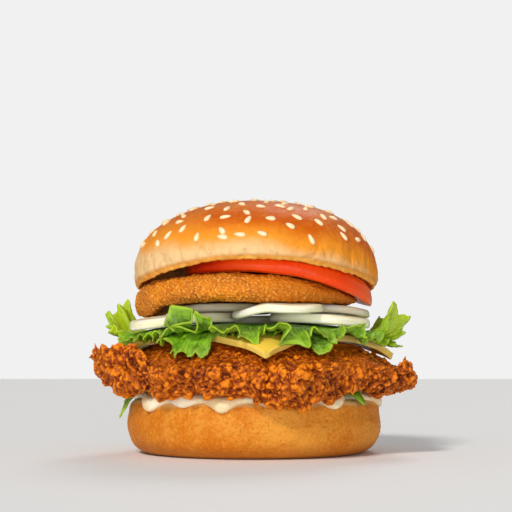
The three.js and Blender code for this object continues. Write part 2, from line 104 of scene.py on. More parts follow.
DRIPS = [
    # bearing, extra reach, half width
    [-51, 4.2, 12], [-32, 2.4, 10], [-13.3, 4.2, 10], [7, 2, 9], [37, 3, 10], [82, 3, 12],
    [110, 4.2, 13], [150, 3, 12], [-170, 4, 13], [-120, 4, 13],
]
SAUCE_BAYS = [
    # bearing, how much the reach is less, half width
    [-77, 4.5, 18], [55, 4.5, 14],
]
HANGING_FOLDS = [
    # bearing, reach
    [-100, 42], [-85, 43], [-80, 51.5], [-76, 45.5], [-72, 54.5], [-67, 43], [-50, 41], [-20, 43],
    [10, 41], [35, 42], [46, 44], [53, 51.5], [60, 44], [80, 42], [110, 43], [150, 41],
    [190, 43], [230, 41],
]
UPPER_FRONT_FOLDS = [
    # bearing, reach, height of the margin
    [-100, 53, 61.5], [-92, 58, 56], [-84, 57, 50], [-66, 51, 44.5], [-48, 51, 45.5], [-41, 51, 46.5],
    [-36, 51, 47.4], [-32, 51, 57.6], [-28, 53, 47.2], [-21, 52, 53.3], [-15, 53, 47.6],
    [-8, 53, 48], [-2, 54, 43.5],
    [3, 48, 47], [10.5, 52, 50.5], [17, 53, 41], [22, 51, 46], [27, 53, 48], [33, 52, 44],
    [38, 51, 46.5], [44, 53, 49.7], [52, 54, 41.3], [69, 51, 44], [80, 56, 58.9], [88, 61, 54.5],
    [94, 57, 47],
]
ONIONS = [
    # node, x, y, radius, in the upper layer, dip at the left edge
    ["onion_left", -27.5, -14, 20.3, False, 0],
    ["onion_right", 25.6, -13, 19.8, False, 0],
    ["onion_back", 0, 25, 20.3, False, 0],
    ["onion_mid", -11, 3, 19.5, True, 0],
    ["onion_far_right", 28, 3, 18, True, 0],
    ["onion_front", 9, -28, 17, True, 3.3],
]
ONION_DEPTH = 3.6
ONION_UPPER_DEPTH = 3
ONION_DROOP = 2.6
ONION_DROOP_RADIUS = 48
PATTY_X = -3.2
PATTY_Y = -0.5
PATTY_DEPTH = 10
PATTY_EDGE = 5.5
PATTY_RIM_DROP = 2
PATTY_RIGHT_DROP = 6.2
PATTY_LEFT_DROP = 2.5
PATTY_FLOOR_TILT = 1.4
PATTY_LEFT_SAG = 3.2
TOMATO_X = 10
TOMATO_Y = -3.5
TOMATO_DEPTH = 5.6
TOMATO_RIGHT_DROP = 4
TOMATO_FLOOR_RIGHT_DROP = 6.4
OVERHANG_FROM = 42
OVERHANG_SPAN = 8
OVERHANG_DROP = 2
ONION_RING_PITCH = 3.1
SKIN_END = 0.62
RIM_END = 0.72
CAMERA_PLACE = (0.0008, -0.5, 0.0333)
CAMERA_LENS = 87.9
CAMERA_LIFT = 5.07

HEEL_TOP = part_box("bun_heel")[1][2] / MM
SAUCE_TOP = HEEL_TOP + CURVED_GAP + SAUCE_DEPTH + SAUCE_EDGE
HANGING_LEVEL = SAUCE_TOP + GAP + 0.4
BED_LEVEL = HANGING_LEVEL + 0.4 + GAP
DECK_LEVEL = BED_LEVEL + FILLET_DEPTH


# Properties

def length(name, description, value):
    """A length property with its default in metres."""
    return FloatProperty(
        name=name, description=description, default=value, min=0, unit="LENGTH", precision=4,
    )


def count_of(name, description, value, least=1):
    """A whole number property."""
    return IntProperty(name=name, description=description, default=value, min=least)


def colour(name, description, value):
    """A colour property."""
    return FloatVectorProperty(
        name=name, description=description, default=value, size=3, min=0, max=1, subtype="COLOR",
    )


class BurgerSizes(PropertyGroup):
    """The sizes that set the burger's shape."""

    heel_radius: length("Heel radius", "Radius of the lower bun at its widest", 0.050)
    crown_radius: length("Crown radius", "Radius of the upper bun at its widest", 0.0488)
    crown_top: length("Crown top", "Height of the top of the upper bun", 0.099)
    cheese_side: length("Cheese side", "Side of the square cheese slice", 0.080)
    cheese_depth: length("Cheese depth", "Thickness of the cheese slice", 0.0025)
    leaf_depth: length("Leaf depth", "Thickness of a lettuce leaf", 0.0007)
    patty_radius: length("Patty radius", "Radius of the breaded patty", 0.044)
    tomato_radius: length("Tomato radius", "Radius of the tomato round", 0.0365)
    nugget: length("Nugget", "Usual size of a lump of fried crust", 0.0017)
    crumb: length("Crumb", "Height of the patty's crumbs", 0.0005)
    seed_length: length("Seed length", "Length of a sesame seed", 0.0043)
    seed_count: count_of("Seeds", "Sesame seeds in the crown's spiral", 88)
    extra_seeds: count_of("Extra seeds", "Sesame seeds strewn between those", 44, 0)
    nugget_count: count_of("Nuggets", "Lumps of fried crust", 4600)


class BurgerColours(PropertyGroup):
    """The colours of the burger's surfaces."""

    crown_brown: colour("Crown brown", "Browned top of the crown", (0.58, 0.096, 0.0015))
    crown_gold: colour("Crown gold", "Golden side of the crown", (0.82, 0.29, 0.02))
    crown_pale: colour("Crown pale", "Pale crust near the rim", (0.78, 0.51, 0.24))
    heel_gold: colour("Heel gold", "Crust of the heel", (0.58, 0.155, 0.003))
    heel_pale: colour("Heel pale", "Pale upper edge of the heel", (0.84, 0.52, 0.2))
    seed: colour("Seed", "Sesame seeds", (0.93, 0.7, 0.38))
    # painted shade: near-black for the fried crust's crevices and hollows
    crust_painted_shade: colour("Crust dark", "Hollows of the fried crust", (0.065, 0.008, 0.0003))
    crust_mid: colour("Crust mid", "Body of the fried crust", (0.27, 0.038, 0.0007))
    # painted light: bright orange for the fried crust's crests and bumps
    crust_painted_light: colour("Crust bright", "Crests of the fried crust", (0.86, 0.23, 0.006))
    patty_gold: colour("Patty gold", "Crumbs of the patty", (0.74, 0.225, 0.006))
    # darker crumbs, also used as painted shade in the patty's crevices
    patty_brown_and_shade: colour("Patty brown", "Darker crumbs of the patty", (0.36, 0.075, 0.003))
    # deep green of darker patches, showing most in the low folds as painted shade
    leaf_deep: colour("Leaf deep", "Deep green of the folds", (0.028, 0.115, 0.002))
    leaf_bright: colour("Leaf bright", "Fresh green of the leaf", (0.18, 0.41, 0.005))
    leaf_tip: colour("Leaf tip", "Yellow green of the tufts and rims", (0.52, 0.66, 0.014))
    cheese: colour("Cheese", "Cheese slice", (0.92, 0.6, 0.045))
    onion: colour("Onion", "Onion rounds", (0.86, 0.81, 0.5))
    tomato: colour("Tomato", "Tomato skin", (0.82, 0.034, 0.001))
    sauce: colour("Sauce", "Cream sauce", (0.82, 0.62, 0.33))


def sizes():
    """The scene's burger sizes."""
    return bpy.context.scene.burger_sizes


def colours():
    """The scene's burger colours."""
    return bpy.context.scene.burger_colours


# Mesh helpers

def points_of(mesh):
    """The mesh's vertices in millimetres."""
    flat = np.empty(len(mesh.vertices) * 3, dtype=np.float32)
    mesh.vertices.foreach_get("co", flat)
    return flat.reshape(-1, 3).astype(float) / MM


def set_points(mesh, points):
    """Moves the mesh's vertices to points in millimetres."""
    mesh.vertices.foreach_set("co", (points * MM).astype(np.float32).ravel())
    mesh.update()


def normals_of(mesh):
    """The mesh's vertex normals."""
    flat = np.empty(len(mesh.vertices) * 3, dtype=np.float32)
    mesh.vertex_normals.foreach_get("vector", flat)
    return flat.reshape(-1, 3).astype(float)


def attribute(mesh, name, values):
    """Stores one number a vertex under a name that a material can read."""
    layer = mesh.attributes.new(name, "FLOAT", "POINT")
    layer.data.foreach_set("value", np.asarray(values, dtype=np.float32))


def only(piece):
    """Selects the piece and nothing else."""
    bpy.ops.object.select_all(action="DESELECT")
    piece.select_set(True)
    bpy.context.view_layer.objects.active = piece


def modify(piece, kind, **settings):
    """Adds a modifier and applies it."""
    only(piece)
    modifier = piece.modifiers.new(kind.title(), kind)
    for key, value in settings.items():
        setattr(modifier, key, value)
    bpy.ops.object.modifier_apply(modifier=modifier.name)


def merge(piece, distance=0.01):
    """Merges vertices closer than a distance in millimetres and turns the faces outwards."""
    only(piece)
    bpy.ops.object.mode_set(mode="EDIT")
    bpy.ops.mesh.select_all(action="SELECT")
    bpy.ops.mesh.remove_doubles(threshold=distance * MM)
    bpy.ops.mesh.normals_make_consistent(inside=False)
    bpy.ops.object.mode_set(mode="OBJECT")


def finished(piece, name, material, slot, *nodes):
    """Names, smooths and dresses a piece, and hides the nodes it stands for."""
    only(piece)
    bpy.ops.object.shade_smooth()
    piece.name = name
    piece.data.name = name
    piece.data.materials.clear()
    piece.data.materials.append(material)
    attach(piece, BODY)
    if nodes:
        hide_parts(*nodes)
    return piece


def new_mesh_object(name, points, faces):
    """An object from joined arrays of points in millimetres and faces."""
    mesh = bpy.data.meshes.new(name)
    mesh.from_pydata((points * MM).tolist(), [], faces.tolist())
    mesh.update()
    piece = bpy.data.objects.new(name, mesh)
    bpy.context.scene.collection.objects.link(piece)
    return piece


def round_piece(turns, rows, place):
    """A ball whose vertices go where place(down, bearing) says, down being 0 at the top pole."""
    bpy.ops.object.select_all(action="DESELECT")
    bpy.ops.mesh.primitive_uv_sphere_add(segments=turns, ring_count=rows, radius=1, location=(0, 0, 0))
    piece = bpy.context.object
    unit = points_of(piece.data) * MM
    down = np.arccos(np.clip(unit[:, 2], -1, 1)) / math.pi
    bearing = bearing_of(unit)
    set_points(piece.data, place(down, bearing))
    return piece


def polar(radius, bearing, z, x=0, y=0):
    """Points at a radius, bearing and height round a centre."""
    turned = np.radians(bearing)
    return np.stack([x + radius * np.sin(turned), y - radius * np.cos(turned), z + 0 * radius], axis=1)


def from_middle(points, x=0, y=0):
    """How far points lie from an upright axis."""
    return np.hypot(points[:, 0] - x, points[:, 1] - y)


def bearing_of(points, x=0):
    """Bearings of points round an upright axis."""
    return np.degrees(np.arctan2(points[:, 0] - x, -points[:, 1]))


def ring_points(bearing, radius=LEAF_RING):
    """Points on a flat ring, where the noise round a margin is read."""
    return polar(np.full(len(bearing), float(radius)), bearing, 0)


def smoothstep(value, low, high):
    """0 below low, 1 above high, and smooth between."""
    share = np.clip((value - low) / (high - low), 0, 1)
    return share * share * (3 - 2 * share)


def nearness(bearing, middle, width):
    """1 at a bearing, falling smoothly to 0 at its width either side."""
    away = np.abs((bearing - middle + 180) % 360 - 180)
    return 1 - smoothstep(away, 0, width)


def between(table, bearing):
    """The table's values at each bearing, easing from one row to the next."""
    rows = np.array(table, dtype=float)
    first = rows[0, 0]
    rows = np.vstack([rows, [first + 360, *rows[0, 1:]]])
    turned = (np.asarray(bearing) - first) % 360 + first
    after = np.clip(np.searchsorted(rows[:, 0], turned, side="right"), 1, len(rows) - 1)
    before = after - 1
    share = (turned - rows[before, 0]) / (rows[after, 0] - rows[before, 0])
    share = (share * share * (3 - 2 * share))[:, None]
    return (rows[before, 1:] * (1 - share) + rows[after, 1:] * share).T


def sag(radius):
    """How far the layers droop over the fillet's edge."""
    return SAG_DEPTH * (radius / SAG_RADIUS) ** SAG_POWER


def swell(points, pitch, seed):
    """Smooth noise from about -1 to 1, with a swing about every pitch, at each point."""
    rng = np.random.default_rng(seed)
    order = rng.permutation(256)
    slopes = rng.normal(size=(256, 3))
    slopes /= np.linalg.norm(slopes, axis=1)[:, None]
    place = points / pitch + 57
    cell = np.floor(place).astype(int)
    local = place - cell
    ease = local ** 3 * (local * (local * 6 - 15) + 10)
    total = np.zeros(len(points))
    for corner in np.ndindex(2, 2, 2):
        step = np.array(corner)
        hashed = order[(cell[:, 0] + step[0]) & 255]
        hashed = order[(hashed + cell[:, 1] + step[1]) & 255]
        hashed = order[(hashed + cell[:, 2] + step[2]) & 255]
        weight = np.prod(np.where(step, ease, 1 - ease), axis=1)
        total += weight * np.einsum("ij,ij->i", slopes[hashed], local - step)
    return total * 1.6


def pebbles(points, pitch, seed):
    """Rounded lumps packed side by side, from 1 on a large lump to 0 in the creases between them."""
    rng = np.random.default_rng(seed)
    order = rng.permutation(256)
    jitter = rng.random((256, 3))
    size = rng.uniform(0.45, 1.0, 256)
    bends = [swell(points + 31 * i, 0.9 * pitch, seed + i) for i in range(3)]
    place = (points + 0.45 * pitch * np.stack(bends, axis=1)) / pitch + 57
    cell = np.floor(place).astype(int)
    height = np.zeros(len(points))
    for corner in np.ndindex(3, 3, 3):
        other = cell + np.array(corner) - 1
        hashed = order[other[:, 0] & 255]
        hashed = order[(hashed + other[:, 1]) & 255]
        hashed = order[(hashed + other[:, 2]) & 255]
        away = np.linalg.norm(other + jitter[hashed] - place, axis=1) / (0.55 + 0.45 * size[hashed])
        height = np.maximum(height, size[hashed] * np.clip(1 - away ** 2, 0, 1) ** 0.7)
    return height


def lcg(seed):
    """The same run of random numbers that places the solids' seeds."""
    state = seed
    while True:
        state = (state * 1664525 + 1013904223) % 4294967296
        yield state / 4294967296


# Material helpers

def feed(tree, socket, value):
    """Links a socket to another, or sets it to a number, a vector or a colour."""
    if isinstance(value, bpy.types.NodeSocket):
        tree.links.new(value, socket)
    elif socket.type == "RGBA":
        socket.default_value = (*value, 1)
    else:
        socket.default_value = value


def node(tree, kind, inputs=None, **settings):
    """Adds a shader node, with its inputs set to values or linked to sockets."""
    made = tree.nodes.new(kind)
    for key, value in settings.items():
        setattr(made, key, value)
    for key, value in (inputs or {}).items():
        feed(tree, made.inputs[key], value)
    return made


def group(name, inputs, outputs):
    """An empty shader node group with named sockets, its inputs node and its outputs node."""
    tree = bpy.data.node_groups.new(name, "ShaderNodeTree")
    for label, kind, default in inputs:
        socket = tree.interface.new_socket(label, in_out="INPUT", socket_type=kind)
        if default is not None:
            socket.default_value = default
    for label, kind in outputs:
        tree.interface.new_socket(label, in_out="OUTPUT", socket_type=kind)
    return tree, tree.nodes.new("NodeGroupInput"), tree.nodes.new("NodeGroupOutput")


def ramp(tree, value, low, high):
    """A mask from 0 at low to 1 at high."""
    limits = {0: value, 1: low, 2: high}
    return node(tree, "ShaderNodeMapRange", limits, interpolation_type="SMOOTHSTEP").outputs[0]


def math_node(tree, operation, *values):
    """The result of a math node."""
    return node(tree, "ShaderNodeMath", dict(enumerate(values)), operation=operation).outputs[0]


def plus(tree, first, second):
    """The sum of two numbers."""
    return math_node(tree, "ADD", first, second)


def minus(tree, first, second):
    """The first number less the second."""
    return math_node(tree, "SUBTRACT", first, second)


def times(tree, first, second):
    """The product of two numbers."""
    return math_node(tree, "MULTIPLY", first, second)


def noise(tree, place, scale, detail):
    """Soft noise, as a number."""
    return node(tree, "ShaderNodeTexNoise", {"Vector": place, "Scale": scale, "Detail": detail}).outputs[0]


def axis_of(tree, place, axis):
    """One of a place's coordinates, in metres."""
    return node(tree, "ShaderNodeSeparateXYZ", {0: place}).outputs[axis]


def cell_number(tree, cells):
    """A random number for each cell of a pattern."""
    return node(tree, "ShaderNodeSeparateColor", {0: cells.outputs["Color"]}).outputs[0]


def mix(tree, factor, first, second, blend="MIX"):
    """A colour mixed from two by a mask."""
    made = node(tree, "ShaderNodeMix", {0: factor, 6: first, 7: second}, data_type="RGBA", blend_type=blend)
    return made.outputs[2]


def mottle_group():
    """Uneven colour: two tones in soft patches, with finer flecks inside them."""
    tree, given, result = group("burger_mottle", [
        ("Vector", "NodeSocketVector", None), ("First", "NodeSocketColor", None),
        ("Second", "NodeSocketColor", None), ("Patch Scale", "NodeSocketFloat", 80.0),
        ("Fleck Scale", "NodeSocketFloat", 600.0), ("Amount", "NodeSocketFloat", 1.0),
    ], [("Color", "NodeSocketColor"), ("Mask", "NodeSocketFloat")])
    patch = noise(tree, given.outputs["Vector"], given.outputs["Patch Scale"], 3.0)
    fleck = noise(tree, given.outputs["Vector"], given.outputs["Fleck Scale"], 2.0)
    both = plus(tree, times(tree, patch, 0.65), times(tree, fleck, 0.35))
    mask = times(tree, ramp(tree, both, 0.38, 0.62), given.outputs["Amount"])
    tree.links.new(mix(tree, mask, given.outputs["First"], given.outputs["Second"]), result.inputs["Color"])
    tree.links.new(mask, result.inputs["Mask"])
    return tree


def relief_group():
    """Fine relief: soft swells, fine grain and small pits, as one height."""
    tree, given, result = group("burger_relief", [
        ("Vector", "NodeSocketVector", None), ("Swell Scale", "NodeSocketFloat", 200.0),
        ("Grain Scale", "NodeSocketFloat", 1500.0), ("Pit Scale", "NodeSocketFloat", 500.0),
        ("Grain", "NodeSocketFloat", 0.3), ("Pits", "NodeSocketFloat", 0.0),
    ], [("Height", "NodeSocketFloat"), ("Pit Mask", "NodeSocketFloat")])
    soft = noise(tree, given.outputs["Vector"], given.outputs["Swell Scale"], 3.0)
    grain = noise(tree, given.outputs["Vector"], given.outputs["Grain Scale"], 2.0)
    cells = node(tree, "ShaderNodeTexVoronoi", {
        "Vector": given.outputs["Vector"], "Scale": given.outputs["Pit Scale"], "Randomness": 1.0,
    })
    pit = minus(tree, 1.0, ramp(tree, cells.outputs["Distance"], 0.08, 0.30))
    sparse = ramp(tree, cell_number(tree, cells), 0.45, 0.6)
    pit = times(tree, pit, sparse)
    height = plus(tree, soft, times(tree, grain, given.outputs["Grain"]))
    height = minus(tree, height, times(tree, pit, given.outputs["Pits"]))
    tree.links.new(height, result.inputs["Height"])
    tree.links.new(pit, result.inputs["Pit Mask"])
    return tree


GROUPS = {}


def placed_group(tree, name, inputs):
    """A copy of a shared effect placed in a material with its own values."""
    makers = {"burger_mottle": mottle_group, "burger_relief": relief_group}
    if name not in GROUPS:
        GROUPS[name] = makers[name]()
    made = tree.nodes.new("ShaderNodeGroup")
    made.node_tree = GROUPS[name]
    for key, value in inputs.items():
        feed(tree, made.inputs[key], value)
    return made


def mottle(tree, place, first, second, patch, fleck, amount=1.0):
    """A colour that wanders between two tones."""
    return placed_group(tree, "burger_mottle", {
        "Vector": place, "First": first, "Second": second,
        "Patch Scale": patch, "Fleck Scale": fleck, "Amount": amount,
    }).outputs["Color"]


def fine_relief(tree, place, swell, grain, pit, grain_height, pit_depth=0.0):
    """A height from swells, grain and pits of given scales, and the mask of the pits."""
    made = placed_group(tree, "burger_relief", {
        "Vector": place, "Swell Scale": swell, "Grain Scale": grain, "Pit Scale": pit,
        "Grain": grain_height, "Pits": pit_depth,
    })
    return made.outputs["Height"], made.outputs["Pit Mask"]


def new_material(name):
    """A material's tree, its Principled shader and the object coordinates."""
    material = bpy.data.materials.new(name)
    material.use_nodes = True
    tree = material.node_tree
    tree.nodes.clear()
    shader = tree.nodes.new("ShaderNodeBsdfPrincipled")
    output = tree.nodes.new("ShaderNodeOutputMaterial")
    tree.links.new(shader.outputs[0], output.inputs[0])
    place = tree.nodes.new("ShaderNodeTexCoord").outputs["Object"]
    return material, tree, shader, place


def bump(tree, shader, height, distance, strength=1.0):
    """Drives the shader's normal from a height, distance being in millimetres."""
    made = node(tree, "ShaderNodeBump", {"Height": height, "Distance": distance * MM, "Strength": strength})
    tree.links.new(made.outputs[0], shader.inputs["Normal"])


def painted(tree, shader, shade, roughness, shine=0.5):
    """Gives the shader its colour, its roughness and how strongly it mirrors."""
    tree.links.new(shade, shader.inputs["Base Color"])
    feed(tree, shader.inputs["Roughness"], roughness)
    shader.inputs["Specular IOR Level"].default_value = shine


def soften(shader, weight, radius, scale):
    """Lets light into a soft food, scale being in millimetres."""
    shader.inputs["Subsurface Weight"].default_value = weight
    shader.inputs["Subsurface Radius"].default_value = radius
    shader.inputs["Subsurface Scale"].default_value = scale * MM


def named(tree, name):
    """A number stored on the mesh."""
    return node(tree, "ShaderNodeAttribute", attribute_name=name).outputs["Fac"]


# Bun heel

def heel_profile(step=0.25):
    """Points down the heel's outline from the middle of its top, with their outward normals."""
    radius = sizes().heel_radius / MM
    shoulder = radius - HEEL_SHOULDER_INSET
    turn = np.radians(np.arange(90, -1, -3))
    arc = np.stack([shoulder - HEEL_SHOULDER + HEEL_SHOULDER * np.cos(turn),
                    HEEL_TOP - HEEL_SHOULDER + HEEL_SHOULDER * np.sin(turn)], axis=1)
    share = np.linspace(0, 1, 12)[1:]
    side = np.stack([shoulder + HEEL_SHOULDER_INSET * smoothstep(share, 0, 1),
                     HEEL_TOP - HEEL_SHOULDER + (HEEL_WAIST - HEEL_TOP + HEEL_SHOULDER) * share], axis=1)
    turn = np.radians(np.arange(0, 91, 3))[1:]
    corner = np.stack([HEEL_BASE_RADIUS + (radius - HEEL_BASE_RADIUS) * np.cos(turn),
                       HEEL_WAIST * (1 - np.sin(turn))], axis=1)
    outline = np.vstack([[0, HEEL_TOP], arc, side, corner, [0, 0]])
    along = np.concatenate([[0], np.cumsum(np.linalg.norm(np.diff(outline, axis=0), axis=1))])
    even = np.arange(0, along[-1], step)
    points = np.stack([np.interp(even, along, outline[:, i]) for i in (0, 1)], axis=1)
    tangent = np.gradient(points, axis=0)
    tangent /= np.linalg.norm(tangent, axis=1)[:, None]
    return even, points, np.stack([-tangent[:, 1], tangent[:, 0]], axis=1)


def on_heel(along, height):
    """Radius and height of points at a distance along the heel's outline, lifted off it."""
    even, points, normal = heel_profile()
    radius = np.interp(along, even, points[:, 0]) + height * np.interp(along, even, normal[:, 0])
    z = np.interp(along, even, points[:, 1]) + height * np.interp(along, even, normal[:, 1])
    return radius, z


def heel_material():
    """Golden bread crust with fine pits darkened by painted shade, a pale upper edge and a darker foot."""
    tones = colours()
    material, tree, shader, place = new_material("bread_heel")
    height = axis_of(tree, place, "Z")
    mottled = mottle(tree, place, tones.heel_gold, (0.72, 0.30, 0.035), 55.0, 800.0, 0.9)
    relief, pits = fine_relief(tree, place, 230.0, 1300.0, 1300.0, 0.6, 0.6)
    wander = noise(tree, place, 90.0, 3.0)
    shifted = plus(tree, height, times(tree, wander, 0.0035))
    edge = ramp(tree, shifted, 0.0200, 0.0222)
    foot = minus(tree, 1.0, ramp(tree, shifted, 0.0025, 0.0085))
    shade = mix(tree, edge, mottled, tones.heel_pale)
    shade = mix(tree, times(tree, foot, 0.7), shade, (0.42, 0.13, 0.012))
    # painted shade: darker in the pits
    shade = mix(tree, times(tree, pits, 0.3), shade, (0.42, 0.12, 0.012))
    painted(tree, shader, shade, 0.6, 0.15)
    bump(tree, shader, relief, 0.5)
    return material


class BURGER_OT_heel(Operator):
    """The lower bun, with its uneven golden side"""

    bl_idname = "burger.heel"
    bl_label = "Bun heel"

    def execute(self, context):
        even, outline, _ = heel_profile()
        top_length = sizes().heel_radius / MM - HEEL_SHOULDER_INSET - HEEL_SHOULDER
        stops = [0, top_length - 3, even[-1] - HEEL_BASE_RADIUS, even[-1]]

        def place(down, bearing):
            along = np.interp(down, [0, 0.12, 0.90, 1], stops)
            radius = np.interp(along, even, outline[:, 0])
            z = np.interp(along, even, outline[:, 1])
            return polar(radius, bearing, z)

        piece = round_piece(420, 170, place)
        points = points_of(piece.data)
        normal = normals_of(piece.data)
        side = smoothstep(from_middle(points), 42, 48)
        waves = 0.45 * swell(points * [1, 1, 1.6], 16, 3) + 0.14 * swell(points, 4.5, 4)
        crumbly = 0.14 * swell(points, 1.9, 5)
        lift = side * smoothstep(points[:, 2], 0.5, 4)
        set_points(piece.data, points + normal * ((waves + crumbly) * lift)[:, None])
        finished(piece, "heel", heel_material(), "bread_heel", "bun_heel")
        return {"FINISHED"}


# Cream sauce

def sauce_material():
    """Glossy cream with tiny reddish specks."""
    material, tree, shader, place = new_material("cream_sauce")
    mottled = mottle(tree, place, colours().sauce, (0.90, 0.82, 0.62), 120.0, 700.0, 0.8)
    cells = node(tree, "ShaderNodeTexVoronoi", {"Vector": place, "Scale": 420.0})
    speck = minus(tree, 1.0, ramp(tree, cells.outputs["Distance"], 0.06, 0.13))
    shade = mix(tree, times(tree, speck, 0.6), mottled, (0.45, 0.10, 0.02))
    painted(tree, shader, shade, 0.28)
    soften(shader, 0.35, (1.0, 0.7, 0.4), 2.5)
    swells = noise(tree, place, 260.0, 2.0)
    bump(tree, shader, swells, 0.15)
    return material


def sauce_reach(bearing):
    """How far along the heel's outline the sauce runs at each bearing."""
    reach = np.full(len(bearing), float(SAUCE_REACH))
    for middle, extra, width in DRIPS:
        reach += extra * nearness(bearing, middle, width)
    for middle, less, width in SAUCE_BAYS:
        reach -= less * nearness(bearing, middle, width)
    turned = np.radians(bearing)
    ring = np.stack([40 * np.cos(turned), 40 * np.sin(turned), 0 * turned], axis=1)
    return reach + 0.5 * swell(ring, 5, 31)


class BURGER_OT_sauce(Operator):
    """The cream sauce, spread over the heel and running over its edge"""

    bl_idname = "burger.sauce"
    bl_label = "Sauce"

    def execute(self, context):
        def place(down, bearing):
            upper = down < 0.5
            share = np.interp(np.where(upper, down, 1 - down), [0, 0.08, 0.5], [0, 0.82, 1])
            reach = sauce_reach(bearing)
            thin = np.sqrt(np.clip(1 - share ** 16, 0, 1))
            ring = ring_points(bearing, 48)
            bead = (0.9 + 0.7 * swell(ring, 9, 32)) * np.exp(-((share - 0.945) / 0.032) ** 2)
            depth = SAUCE_EDGE + SAUCE_DEPTH * thin + bead
            height = np.where(upper, GAP + depth, GAP - 0.2 - 0.3 * (1 - thin))
            radius, z = on_heel(share * reach, height)
            z = np.where(share < 0.01, HEEL_TOP + height, z)
            return polar(np.where(share < 0.01, 0, radius), bearing, z)

        piece = round_piece(480, 70, place)
        modify(piece, "SMOOTH", factor=0.5, iterations=4)
        finished(piece, "cream", sauce_material(), "cream_sauce", "sauce")
        return {"FINISHED"}


# Leaves

def leaf_material(name, tuft):
    """A waxy leaf: painted shade in its low folds and painted light on its high parts, pale veins, and
    yellow green towards the rim.
    """
    tones = colours()
    material, tree, shader, place = new_material(name)
    out = named(tree, "out")
    tone_and_light = named(tree, "tone_and_light")
    crease = named(tree, "vein")
    mottled = mottle(tree, place, tones.leaf_deep, tones.leaf_bright, 130.0, 700.0, 1.0)
    # the stored tone mixes the leaf's real tone with painted light and shade by height
    shade = mix(tree, tone_and_light, mottled, tones.leaf_bright)
    shade = mix(tree, times(tree, ramp(tree, tone_and_light, 0.3, 1.0), tuft), shade, tones.leaf_tip)
    rim = times(tree, ramp(tree, out, 0.88, 1.0), 0.35)
    shade = mix(tree, rim, shade, tones.leaf_tip)
    shade = mix(tree, times(tree, crease, 0.45), shade, (0.50, 0.68, 0.12))
    painted(tree, shader, shade, 0.34, 0.3)
    soften(shader, 0.2, (0.5, 1.0, 0.1), 1.0)
    relief, _ = fine_relief(tree, place, 420.0, 1900.0, 700.0, 0.25, 0.0)
    height = plus(tree, relief, times(tree, crease, 0.8))
    bump(tree, shader, height, 0.35)
    return material


def past_flat(share):
    """0 on a leaf's flat middle, growing to 1 at its margin."""
    return np.clip((share - LEAF_FLAT_SHARE) / (1 - LEAF_FLAT_SHARE), 0, 1)


def leaf_sheet(turns, rings, surface):
    """A round sheet from a grid wrapped round the middle, through surface(share, bearing)."""
    bpy.ops.object.select_all(action="DESELECT")
    bpy.ops.mesh.primitive_grid_add(
        x_subdivisions=turns, y_subdivisions=rings, size=2, location=(0, 0, 0),
    )
    piece = bpy.context.object
    flat = points_of(piece.data) * MM
    bearing = (flat[:, 0] + 1) * 180 - 180
    share = np.clip((flat[:, 1] + 1) / 2, 0, 1)
    points, values = surface(share, bearing)
    set_points(piece.data, points)
    for key, value in values.items():
        attribute(piece.data, key, value)
    merge(piece)
    return piece


def branching(share, bearing, ribs, seed):
    """Veins that run outwards from each rib and branch, 1 on a vein and 0 between."""
    rng = np.random.default_rng(seed)
    vein = np.zeros(len(share))
    out = past_flat(share)
    for rib in ribs:
        lean = rng.uniform(-2, 2)
        away = (bearing - rib - lean * out + 180) % 360 - 180
        vein = np.maximum(vein, 0.9 * np.exp(-(away / (0.55 - 0.3 * out)) ** 2))
        for branch in range(5):
            start = 0.08 + 0.17 * branch + rng.uniform(-0.03, 0.03)
            for way in (-1, 1):
                offset = way * rng.uniform(5, 8) * np.clip(out - start, 0, 1) ** 0.85
                line = np.exp(-((away - offset) / 0.32) ** 2) * (out > start) * (out < start + 0.75)
                vein = np.maximum(vein, 0.6 * line)
    return vein * smoothstep(out, 0, 0.1)


